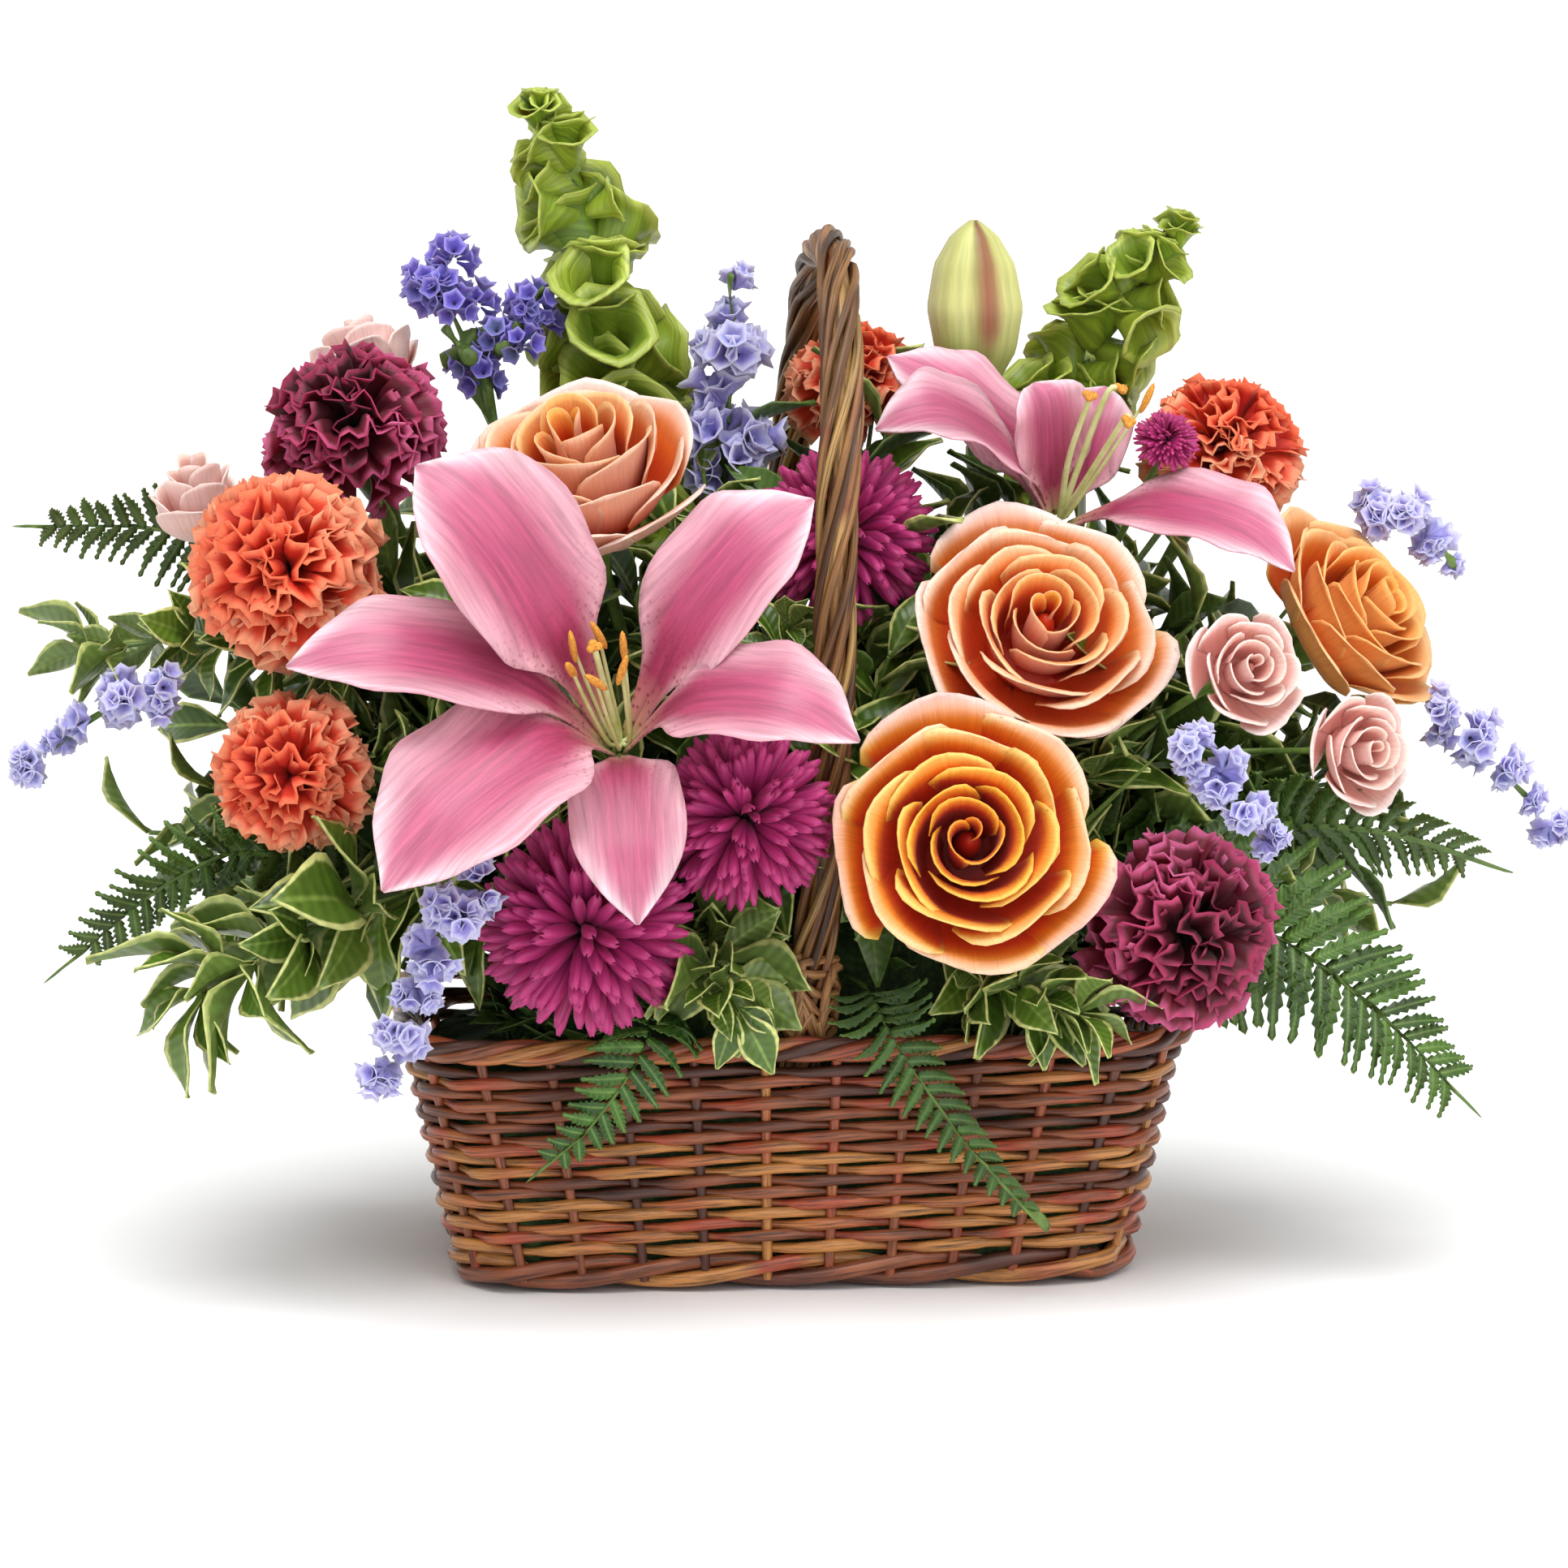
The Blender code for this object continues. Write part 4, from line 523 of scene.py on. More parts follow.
def leafFinish(name, body, edge, rib, back, edgeFrom, veinStep, rough):
    # body: colours by chance from leaf to leaf; side veins veinStep mm apart slant out of a paler midrib
    finish, shader, add = startFinish(name, {
        "Roughness": rough, "Subsurface Weight": 0.06, "Subsurface Scale": 0.002, "Coat Weight": 0.12,
        "Coat Roughness": 0.3})
    lip, along, across, tone, under = (
        add("ShaderNodeAttribute", attribute_name=mark).outputs["Fac"]
        for mark in ("lip", "along", "across", "tone", "under"))
    bodyColour = fillRamp(add("ShaderNodeValToRGB", {0: tone}), body)
    wide = add("ShaderNodeMath", {0: across}, operation="ABSOLUTE")
    slant = add("ShaderNodeMath", {0: wide, 1: -0.8}, operation="MULTIPLY")
    course = add("ShaderNodeMath", {0: along, 1: slant}, operation="ADD")
    steps = add("ShaderNodeMath", {0: course, 1: fullTurn / veinStep}, operation="MULTIPLY")
    wave = add("ShaderNodeMath", {0: steps}, operation="SINE")
    mottle = add("ShaderNodeTexNoise", {0: add("ShaderNodeTexCoord").outputs["Object"], "Scale": 260.0,
                                        "Detail": 3.0})
    waver = add("ShaderNodeMath", {0: mottle, 1: 0.16}, operation="MULTIPLY")
    edgeAt = add("ShaderNodeMath", {0: lip, 1: waver}, operation="ADD")
    lipMask = add("ShaderNodeMapRange", {0: edgeAt, 1: edgeFrom, 2: edgeFrom + 0.12},
                  interpolation_type="SMOOTHSTEP")
    ribMask = add("ShaderNodeMapRange", {0: wide, 1: 0.25, 2: 0.9, 3: 0.75, 4: 0.0})
    backMask = add("ShaderNodeMath", {0: under, 1: 0.55}, operation="MULTIPLY")
    colour = bodyColour
    for mask, laid in ((lipMask, edge), (ribMask, rib), (backMask, back)):
        colour = add("ShaderNodeMix", {0: mask, 6: colour, 7: linear(laid)}, data_type="RGBA")
    veined = add("ShaderNodeMapRange", {0: wave, 1: -1.0, 2: 1.0, 3: 0.9, 4: 1.08})
    blotched = add("ShaderNodeMapRange", {0: mottle, 1: 0.3, 2: 0.7, 3: 0.82, 4: 1.14})
    light = add("ShaderNodeMath", {0: veined, 1: blotched}, operation="MULTIPLY")
    shade = add("ShaderNodeVectorMath", {0: colour, "Scale": light}, operation="SCALE")
    bump = add("ShaderNodeBump", {"Height": wave, "Strength": 0.25, "Distance": 0.0003})
    feed(shader, {"Base Color": shade, "Normal": bump})
    return finish


def barkFinish(name, tones, groove, coat=0.25, patch=0.06, streak=0.02):
    # tones run from rod to rod and in patches along each; dark streaks follow the grain; lengths in metres
    rough = 0.42
    finish, shader, add = startFinish(name, {"Coat Weight": coat, "Coat Roughness": 0.25})
    skin = add("ShaderNodeAttribute", attribute_name="round").outputs["Vector"]
    along, tone = (add("ShaderNodeAttribute", attribute_name=mark).outputs["Fac"]
                   for mark in ("along", "tone"))
    shifted, longPatch, longStreak = (
        add("ShaderNodeMath", {0: mark, 1: times}, operation="MULTIPLY")
        for mark, times in ((tone, 71.0), (along, 1 / patch), (along, 1 / streak)))
    patchPlace = add("ShaderNodeCombineXYZ", {0: shifted, 2: longPatch})
    patches = add("ShaderNodeTexNoise", {0: patchPlace, "Scale": 1.0, "Detail": 1.0})
    wide = add("ShaderNodeMapRange", {0: patches, 1: 0.3, 2: 0.7, 3: -0.35, 4: 0.35})
    pick = add("ShaderNodeMath", {0: wide, 1: tone}, operation="ADD")
    colour = fillRamp(add("ShaderNodeValToRGB", {0: pick}), tones)
    streakPlace = add("ShaderNodeCombineXYZ", {0: shifted, 2: longStreak})
    wound = add("ShaderNodeVectorMath", {0: skin, 1: streakPlace}, operation="ADD")
    doubled = add("ShaderNodeVectorMath", {0: wound, 1: (2.2, 2.2, 1.0)}, operation="MULTIPLY")
    streaks = add("ShaderNodeTexNoise", {0: doubled, "Scale": 1.0, "Detail": 4.0, "Roughness": 0.65})
    dark = add("ShaderNodeMapRange", {0: streaks, 1: 0.34, 2: 0.56, 3: 0.85, 4: 0.0})
    feed(shader, {
        "Base Color": add("ShaderNodeMix", {0: dark, 6: colour, 7: linear(groove)}, data_type="RGBA"),
        "Roughness": add("ShaderNodeMapRange", {0: streaks, 1: 0.3, 2: 0.7, 3: rough + 0.2, 4: rough - 0.08}),
        "Normal": add("ShaderNodeBump", {"Height": streaks, "Strength": 0.7, "Distance": 0.0005})})
    return finish


def grainFinish(name, colours, grainSize, rough, depth, coat=0.0):
    # one substance with an even fine grain, grainSize and depth in metres
    finish, shader, add = startFinish(name, {"Roughness": rough, "Coat Weight": coat})
    grain = add("ShaderNodeTexNoise", {0: add("ShaderNodeTexCoord").outputs["Object"], "Scale": 1 / grainSize,
                                       "Detail": 4.0, "Roughness": 0.7})
    feed(shader, {"Base Color": fillRamp(add("ShaderNodeValToRGB", {0: grain}), colours),
                  "Normal": add("ShaderNodeBump", {"Height": grain, "Strength": 0.6, "Distance": depth})})
    return finish


# Willow with its bark on, steamed and varnished: red-brown, streaked, half glossy
brownWillow = barkFinish(
    "varnishedWillow", [(0.05, "#4E2413"), (0.3, "#7E3F20"), (0.55, "#9A5530"), (0.75, "#A84426"),
                        (0.95, "#C0803F")], "#1E0C06", patch=0.045)
# The handle's rods: peeled and weathered, tan with a few red ones, grooves dark
tanWillow = barkFinish(
    "weatheredWillow", [(0.05, "#4E3019"), (0.35, "#83582C"), (0.6, "#A0703C"), (0.8, "#80462A"),
                        (0.95, "#B48C52")], "#1E1008", streak=0.03, coat=0.1)
# Cane peel for the lashings: flat golden brown with a slight shine
splitCane = barkFinish(
    "splitCane", [(0.1, "#7A4A2A"), (0.5, "#A87046"), (0.9, "#C09058")], "#3A2012", coat=0.2)
# Fresh stem: smooth green skin with faint ribs
freshStem = grainFinish("freshStemSkin", [(0.3, "#3F5A22"), (0.7, "#6E8A3A")], 0.006, 0.45, 0.0002, coat=0.1)
# Wet floral foam: dull, finely celled green phenolic foam
wetFoam = grainFinish("wetFloralFoam", [(0.3, "#123818"), (0.7, "#2C6233")], 0.0012, 0.95, 0.0006)
# Thermoformed polystyrene liner: thin, glossy dark green
linerPlastic = grainFinish(
    "formedPolystyrene", [(0.3, "#10301C"), (0.7, "#173F26")], 0.03, 0.3, 0.00005, coat=0.3)
# Sheet moss over the foam, and inside the wall where its darkness is painted shade behind the weave: matted
# dark green tufts
sheetMoss = grainFinish(
    "sheetMoss", [(0.3, "#0E1C08"), (0.5, "#1E3312"), (0.75, "#3A5220")], 0.004, 1.0, 0.002)
print("finishes for wood, foam and stems made")


# The basket: rods woven between stakes, round the solid's own walls

weave = {
    "rows": 17,
    "stakes": 34,
    "rodRadius": 0.00185,
    "stakeRadius": 0.0018,
    "inset": 0.0006,        # from the wall's face to a rod that lies flush with it
    "swing": 0.0019,        # how far a rod passes outside or inside a stake
    "stepsPerStake": 6,
    "lowest": 0.0155,       # middle of the lowest row
    "wander": 0.0003,       # how unevenly the rows lie
    "dip": 0.0007,          # how far a rod rises and falls between stakes
    "baseRadius": 0.0030,
    "baseStep": 0.0062,
    "baseHeight": 0.0052,
    "baseWave": 0.0012,
    "footRadius": 0.0027,
    "footHeight": 0.0072,
    "footInset": 0.0045,
    "footOffset": 0.0034,   # from the border's middle line to its rods'
    "footLay": 0.105,       # one turn of the foot border's rods
    "rimRadius": 0.0021,
    "rimLay": 0.062,
}
lowBand, highBand = (0.013, 0.0196, 0.0262), (0.055, 0.0616, 0.0682)  # heights where the wall is read
outlineSteps = 360


def wallOutline(node, heights, inward=True):  # the wall's line at some heights, its weave averaged away
    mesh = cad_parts[node].data
    wall = BVHTree.FromPolygons([v.co for v in mesh.vertices], [p.vertices[:] for p in mesh.polygons])
    line = []
    for angle in np.linspace(0, fullTurn, outlineSteps, endpoint=False):
        way = Vector((math.cos(angle), math.sin(angle), 0))
        reach = []
        for z in heights:
            start = way * 0.4 if inward else Vector((0, 0, 0))
            hit = wall.ray_cast(start + Vector((0, 0, z)), -way if inward else way)[0]
            if hit:
                reach.append(math.hypot(hit.x, hit.y))
        line.append(np.array((way.x, way.y, 0)) * np.mean(reach))
    return sum(np.roll(line, k, 0) for k in (2, 1, 0, -1, -2)) / 5


rimLow, rimHigh = boxOf("basket_rim")
wallTop = rimLow[2]
lowLine, highLine = (wallOutline("basket", np.linspace(band[0], band[2], 5)) for band in (lowBand, highBand))


def wallLine(height):
    return lowLine + (highLine - lowLine) * ((height - lowBand[1]) / (highBand[1] - lowBand[1]))


def wallAt(height, count):
    return spread(wallLine(height), count, closed=True) + up * height


def outwardOf(line):
    along = unit(np.roll(line, -1, 0) - np.roll(line, 1, 0))
    return np.cross(along, up)


def rope(line, strands, radius, offset, lay, **settings):  # strands laid round a closed line
    steps = np.linalg.norm(np.diff(np.vstack([line, line[:1]]), axis=0), axis=1)
    turns = max(1, round(steps.sum() / lay))
    angle = fullTurn * turns * np.concatenate([[0], np.cumsum(steps)[:-1]]) / steps.sum()
    lines = [around(line, (outwardOf(line), up), offset, angle + fullTurn * k / strands)
             for k in range(strands)]
    return rods(lines, [radius] * strands, brownWillow, closed=True, **settings)


def wovenRows():
    lines, radii = [], []
    count = weave["stakes"] * weave["stepsPerStake"]
    pitch = (wallTop - 0.001 - weave["lowest"]) / (weave["rows"] - 0.5)
    at = np.arange(count) / weave["stepsPerStake"]
    for row in range(weave["rows"]):
        wander = dice.normal(0, weave["wander"], weave["stakes"])
        height = weave["lowest"] + row * pitch
        line = wallAt(height, count)
        height = height + np.interp(at, np.arange(weave["stakes"]), wander, period=weave["stakes"])
        line[:, 2] = height + weave["dip"] * np.sin(math.pi * at + math.pi * row + 0.8)
        wave = np.cos(math.pi * (at + row))
        swing = weave["swing"] * np.sign(wave) * np.abs(wave) ** 0.8
        lines.append(line + outwardOf(line) * (swing - weave["rodRadius"] - weave["inset"])[:, None])
        fuller = 1 + 0.16 * wave + dice.normal(0, 0.05, count // 3).repeat(3)
        radii.append(weave["rodRadius"] * fuller * dice.uniform(0.92, 1.05))
    return rods(lines, radii, brownWillow, unevenness=0.25, lump=0.02, seed=3, closed=True)


def stakes():
    foot, head = (wallAt(height, weave["stakes"]) for height in (0.004, wallTop + 0.002))
    inset = weave["rodRadius"] + weave["inset"]
    lines = [np.linspace(a, b, 12) - out * inset for a, b, out in zip(foot, head, outwardOf(foot))]
    return rods(lines, [weave["stakeRadius"]] * len(lines), brownWillow, sides=6, seed=5)


def baseRods():  # side by side over the bottom, each from wall to wall
    line = wallAt(0.006, outlineSteps)
    lines, reach = [], np.abs(line[:, 1]).max() - 0.008
    for y in np.arange(-reach, reach + 1e-6, weave["baseStep"]):
        near = line[np.argsort(np.abs(line[:, 1] - y))[:6]]
        end = np.abs(near[:, 0]).min() - 0.004
        x = np.linspace(-end, end, 40)
        z = weave["baseHeight"] + weave["baseWave"] * np.sin(x / 0.018 * math.pi + y * 500)
        lines.append(np.stack([x, 0 * x + y, z], -1))
    return rods(lines, [weave["baseRadius"]] * len(lines), brownWillow, sides=6, seed=6)


def footBorder():
    line = wallAt(weave["footHeight"], 300)
    return rope(line - outwardOf(line) * weave["footInset"], 3, weave["footRadius"], weave["footOffset"],
                weave["footLay"], seed=8)


def topBorder():
    height, half = (rimLow[2] + rimHigh[2]) / 2, (rimHigh[2] - rimLow[2]) / 2
    outer, inner = (wallOutline("basket_rim", [height], inward) for inward in (True, False))
    middle = spread((outer + inner) / 2, outlineSteps, closed=True) + up * height
    core = rods([middle], [half * 0.5], brownWillow, seed=10, closed=True)
    return joinMeshes(core, rope(middle, 4, weave["rimRadius"], half - weave["rimRadius"] - 0.0002,
                                 weave["rimLay"], lump=0.02, seed=9))


addPiece("wovenWall", joinMeshes(wovenRows(), stakes(), baseRods(), footBorder()), ["basket"])
addPiece("topBorder", topBorder(), ["basket_rim"])
print("basket woven")


# The handle: rods laid round a core along the solid's own line, lashed to the rim with cane

grip = {
    "rods": 12,
    "rodRadius": 0.00155,
    "lay": 0.15,            # one turn of the rods round the core
    "steps": 150,
    "core": 0.55,           # the core's share of the handle's radius
    "sway": 0.25,           # how far a rod wanders round the handle, in radians
    "lift": 0.0005,         # how far it stands off the core in places
    "strip": 0.0016,        # radius of the lashing's cane
    "wraps": 9,
    "perTurn": 24,
    "sink": 0.93,           # how close the cane lies, as a share of the collar's reach
}


def ringsFrom(name, ends):  # rings of points from one end of a swept solid to the other
    points, _, links = solidOf(name)
    return points, [list(ring) for ring in ringsUp(links, ends(points))]


def frontFoot(points):
    front = np.where(points[:, 1] < 0)[0]
    low = points[front, 2].min()
    return [i for i in front if points[i, 2] < low + 0.003]


def highEnd(points):
    return [i for i in range(len(points)) if points[i, 2] > points[:, 2].max() - 0.002]


def handleLine():
    points, rings = ringsFrom("handle", frontFoot)
    middles = np.array([points[ring].mean(0) for ring in rings])
    last = np.argmin(np.where(middles[:, 1] > 0, middles[:, 2], 9))  # the foot at the back
    radius = np.mean([np.linalg.norm(points[ring] - middle, axis=1).max()
                      for ring, middle in list(zip(rings, middles))[2:-2]])
    return spread(middles[:last + 1], grip["steps"]), radius


def carried(line):  # two side directions carried along a line without twisting
    along = unit(np.gradient(line, axis=0))
    side = unit(np.cross(along[0], (1.0, 0.0, 0.0)))
    sides = []
    for way in along:
        side = unit(side - way * (side @ way))
        sides.append(side)
    sides = np.array(sides)
    return sides, np.cross(along, sides)


def handleRods():
    line, radius = handleLine()
    ways, reach = carried(line), lengthsAlong(line)
    lines, radii = [line], [radius * grip["core"]]
    for k in range(grip["rods"]):
        angle = fullTurn * (reach / grip["lay"] + k / grip["rods"])
        angle = angle + grip["sway"] * np.sin(reach / 0.03 + 2.3 * k)
        offset = radius - grip["rodRadius"] + grip["lift"] * np.sin(reach / 0.02 + 1.7 * k)
        lines.append(around(line, ways, offset, angle))
        radii.append(grip["rodRadius"] * dice.uniform(0.82, 1.12))
    return rods(lines, radii, tanWillow, unevenness=0.35, lump=0.025, seed=12)


def lashing(node, seed):  # cane wound down the solid collar, following its own rings
    points, rings = ringsFrom(node, highEnd)
    middles = np.array([points[ring].mean(0) for ring in rings])
    loops, perTurn = [], grip["perTurn"]
    for ring, middle, first, second in zip(rings, middles, *carried(middles)):
        member = points[ring] - middle
        angle = np.arctan2(member @ second, member @ first)
        loop = spread((member + middle)[np.argsort(angle)], perTurn, closed=True)
        loops.append(np.roll(loop, -np.argmax((loop - middle) @ first), 0))
    loops = np.array(loops)
    steps = np.linspace(0, 1, grip["wraps"] * perTurn)
    level = steps * (len(loops) - 1)
    low = np.minimum(level.astype(int), len(loops) - 2)
    share = (level - low)[:, None]
    spot = (steps * grip["wraps"] * perTurn).astype(int) % perTurn
    path = loops[low, spot] * (1 - share) + loops[low + 1, spot] * share
    middle = loops.mean(1)
    centre = middle[low] * (1 - share) + middle[low + 1] * share
    path = centre + (path - centre) * grip["sink"]
    return rods([path], [grip["strip"]], splitCane, sides=6, lump=0.01, seed=seed)


addPiece("handleRods", handleRods(), ["handle"])
for side, seed in (("front", 21), ("back", 22)):
    collar = f"handle_binding_{side}"
    addPiece(f"lashing{side.title()}", lashing(collar, seed), [collar])
for name, finish in (("liner", linerPlastic), ("floral_foam", wetFoam)):
    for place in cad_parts[name].material_slots:
        place.material = finish
print("handle and lashings made")


# Roses: cupped petals at golden turns, closed at the heart and rolled back outside

roseForm = {"petals": 25, "sprayPetals": 16, "rows": 11, "columns": 13, "thick": 0.0005}

# Rose petals: soft and satin, burning deep in the heart and pale at the rolled lips
frontRose = petalFinish(
    "gardenRosePetal",
    [(0, "#B02410"), (0.2, "#D44216"), (0.46, "#EC7A18"), (0.7, "#F0943A"), (0.88, "#F0A270"),
     (1, "#EFA488")],
    [(0, "#EC8420"), (0.3, "#F8BC3C"), (0.62, "#FACC70"), (0.82, "#F8CCA4"), (1, "#F5C0B6")], 0.72)
peachRose = petalFinish(
    "peachRosePetal", [(0, "#D43E18"), (0.34, "#F07C28"), (0.64, "#F09450"), (1, "#F0A688")],
    [(0, "#F6A840"), (0.4, "#F8C488"), (1, "#F8DAD2")], 0.68, back="#F4C2AE")
amberRose = petalFinish(
    "amberRosePetal", [(0, "#DC5A1C"), (0.3, "#EC8A2C"), (0.6, "#EE9A4C"), (1, "#EEA25E")],
    [(0, "#F6B04A"), (0.4, "#F6BC70"), (1, "#F4C290")], 0.72, back="#F0A860")
blushRose = petalFinish(
    "sprayRosePetal", [(0, "#E29A90"), (0.4, "#F0B8AE"), (1, "#F4CCC6")],
    [(0, "#F4C8B8"), (0.5, "#F6DCD0"), (1, "#F8E6DE")], 0.7, back="#F3CCC6")


def seatOf(name, stem, count):  # middle, axis and radius of a bloom's lowest ring, and the bloom's height
    points, holder = solidOf(name)[0], solidOf(stem)[0]
    gap = [np.linalg.norm(holder - p, axis=1).min() for p in points]
    base = points[np.argsort(gap)[:count]]
    middle = base.mean(0)
    axis = np.linalg.svd(base - middle)[2][2]
    if axis @ (points.mean(0) - middle) < 0:
        axis = -axis
    return middle, axis, np.linalg.norm(base - middle, axis=1).mean(), ((points - middle) @ axis).max()


def rosePetal(opened, angle, radius, tall, number):  # opened runs from 0 at the heart to 1 outside
    v = np.linspace(0, 1, roseForm["rows"])[:, None]
    u = np.linspace(-1, 1, roseForm["columns"])[None, :]
    lip = radius * (0.05 + 0.86 * opened)
    base = radius * (0.03 + 0.30 * opened)
    height = tall * (0.86 - 0.40 * opened ** 1.6) * (1 + 0.05 * math.sin(2.7 * number))
    half = math.radians(98 - 50 * smooth(opened, 0, 0.8))
    knots = ((base, 0.05 * height), (base + (lip - base) * 0.7 + 0.05 * radius, 0.3 * height),
             (lip * 0.97, 0.72 * height), (lip * (0.92 + 0.06 * opened), height))
    t = v * (1 - (0.30 + 0.22 * opened) * np.abs(u) ** 3 + 0.05 * opened * np.exp(-(u / 0.16) ** 2))
    weights = ((1 - t) ** 3, 3 * t * (1 - t) ** 2, 3 * t * t * (1 - t), t ** 3)
    far, high = (sum(w * knot[k] for w, knot in zip(weights, knots)) for k in (0, 1))
    roll = smooth(np.abs(u), 0.35, 1) * smooth(t, 0.45, 1) * smooth(opened, 0.1, 0.7)
    curl = smooth(t, 0.70, 1)
    wave = np.sin(3.6 * u + 1.9 * number) * t ** 3
    wide = 0.03 + 0.05 * smooth(opened, 0.0, 0.5)
    spring = 0.05 * u + 0.03 * roll + wide * curl + (0.012 + 0.03 * opened) * wave
    far = far * (1 + 0.10 * u * u * smooth(opened, 0, 0.4)) + radius * spring
    high = high - radius * (0.05 * roll + 0.9 * wide * curl ** 3 - 0.03 * wave * opened)
    turn = angle + half * u * (0.5 + 0.5 * np.sqrt(t))
    grid = np.stack([far * np.cos(turn), far * np.sin(turn), high], -1)
    edge = 1 - np.minimum(1 - v + 0 * u, (1 - np.abs(u)) * 0.9 + 0.5 * (1 - v))
    marks = {"depth": opened * (0.08 + 0.92 * smooth(t, 0.3, 0.92)), "lip": edge, "along": t * height * 1100,
             "across": half * u * far * 1000}
    return grid[:, ::-1], {key: value[:, ::-1] for key, value in marks.items()}


def buildRose(name, stem, finish, petals):
    middle, axis, seat, tall = seatOf(name, stem, 9)
    radius, tall = seat / 0.24, tall / 0.88
    turn = np.stack([*acrossAxes(axis, 0.7), axis])
    shells = []
    for number in range(petals):
        opened = (number / (petals - 1)) ** 0.8
        grid, marks = rosePetal(opened, number * goldenTurn, radius, tall, number)
        shells.append(sheetShell(middle + grid @ turn, roseForm["thick"], tone=(number * 0.618) % 1, **marks))
    heart = ballShell(middle + axis * 0.30 * tall, turn, (0.10 * radius, 0.10 * radius, 0.32 * tall), 9, 12)
    cup = ballShell(middle + axis * 0.09 * tall, turn, (0.36 * radius, 0.36 * radius, 0.10 * tall), 7, 14)
    parts = [meshOf("part", part, finish) for part in (shells, [heart], [cup])]
    addPiece(f"bloom_{name}", joinMeshes(*parts), [name])


for name, finish in (("rose_front", frontRose), ("rose_right", peachRose), ("rose_left", peachRose),
                     ("rose_far_right", amberRose)):
    buildRose(name, f"{name}_stem", finish, roseForm["petals"])
for name, side in (("left", "left"), ("top", "left"), ("right_high", "right"), ("right_low", "right")):
    buildRose(f"spray_rose_{name}", f"spray_rose_stem_{side}", blushRose, roseForm["sprayPetals"])
print("roses opened")


# Lilies: each tepal lofted through the solid's own sections, with a midrib and a ruffled edge

lilyForm = {
    "rows": 26,
    "columns": 15,
    "thick": 0.0007,
    "ruffle": 0.07,        # height of the edge's waves, as a share of half the width
    "rib": 0.0010,
    "pistil": (0.0012, 0.0009),    # radius at foot and end
    "filament": (0.0009, 0.0006),
    "lobe": (0.0017, 0.0017, 0.0013),
    "anther": (0.0060, 0.0013, 0.0015),
}
tepalPoints = 29  # of each tepal in the solid

# Lily: smooth glossy pink, darkest between rib and edge, with raised dark flecks near the throat
lilyPink = petalFinish(
    "orientalLilyTepal",
    [(0, "#C8D080"), (0.07, "#D09088"), (0.18, "#A2345A"), (0.55, "#B54C72"), (0.85, "#C66C8A"),
     (1, "#D68CA2")],
    [(0, "#F0E8C8"), (0.22, "#E4B0BA"), (0.6, "#E2A6B4"), (1, "#F8DEE4")], 0.28, vein=0.28, veinWidth=1.5,
    rough=0.4, back="#E0A2B2", fleck=0.75)
# Pollen sacs: powdery golden orange
pollen = grainFinish("lilyPollen", [(0.3, "#B8641C"), (0.7, "#EFB64E")], 0.0008, 0.95, 0.0004)
# Filaments and pistil: smooth, waxy pale green
filament = grainFinish("lilyFilament", [(0.3, "#B9C46A"), (0.7, "#E4E8B0")], 0.01, 0.45, 0.0001)
# The bud's skin: green to cream with russet folds
budSkin = petalFinish("lilyBudSkin", [(0, "#8E9E3A"), (0.5, "#D8D68A"), (1, "#C8C878")],
                      [(0, "#7E7A3A"), (0.4, "#9A5238"), (1, "#7A4426")], 0.2, vein=0.2, veinWidth=1.2,
                      velvet=0.15)


def ringsOut(group, points, links, start):  # a drawn-out shape's rings, from where it starts
    seen, rings = set(start), []
    ring = {j for i in start for j in links[i] if j in group}
    while ring:
        rings.append(ring)
        seen |= ring
        ring = {j for i in ring for j in links[i] if j in group} - seen
    return [points[list(ring)] for ring in rings]


def tepalSpine(rings, throat, axis):  # middle line, half widths and cupping from the throat to the tip
    middles, wides, lifts = [throat + 0.0045 * unit(rings[0].mean(0) - throat)], [None], [0.0]
    across = None
    for ring in rings:
        if len(ring) == 1:
            middles.append(ring[0])
            wides.append(wides[-1] * 0.04)
            lifts.append(0.0)
            continue
        centre = ring.mean(0)
        way = np.linalg.svd(ring - centre)[2][0]
        if across is None:
            along = unit(centre - throat)
            radial = unit(along - axis * (along @ axis))
            across = -way if np.cross(way, along) @ (axis - 0.5 * radial) < 0 else way
        else:
            across = -way if way @ across < 0 else way
        order = ring[np.argsort(ring @ across)]
        left, mid, right = order[:2].mean(0), order[2:4].mean(0), order[4:].mean(0)
        middles.append(mid)
        wides.append((right - left) / 2)
        lifts.append(np.linalg.norm((left + right) / 2 - mid))
    wides[0] = unit(wides[1]) * 0.0022
    rows = lilyForm["rows"]
    return rounded(middles, rows), rounded(wides, rows), rounded([(x, 0, 0) for x in lifts], rows)[:, :1]


def tepalShell(rings, throat, axis, number):
    line, wide, lift = tepalSpine(rings, throat, axis)
    v = np.linspace(0, 1, lilyForm["rows"])[:, None]
    u = np.linspace(-1, 1, lilyForm["columns"])[None, :]
    top = unit(np.cross(wide, np.gradient(line, axis=0)))
    half = np.linalg.norm(wide, axis=1)[:, None]
    waves = np.sin(fullTurn * (4.3 * v + 0.37 * number) + 1.3 * np.sign(u))
    ruffle = lilyForm["ruffle"] * half * np.abs(u) ** 3 * waves * smooth(v, 0.15, 0.4)
    rise = 1.15 * lift * u * u + ruffle - lilyForm["rib"] * np.exp(-(u / 0.09) ** 2) * (1 - v)
    fuller = 1.12 + 0.5 * np.exp(-((v - 0.24) / 0.17) ** 2)  # shoulders that meet round the throat
    grid = line[:, None] + wide[:, None] * (u * fuller)[..., None] + top[:, None] * rise[..., None]
    return sheetShell(grid, lilyForm["thick"], depth=v, lip=np.abs(u) * smooth(v, 0.0, 0.3),
                      along=lengthsAlong(line)[:, None] * 1000, across=u * half * 1000,
                      tone=(number * 0.618 + 0.2) % 1)


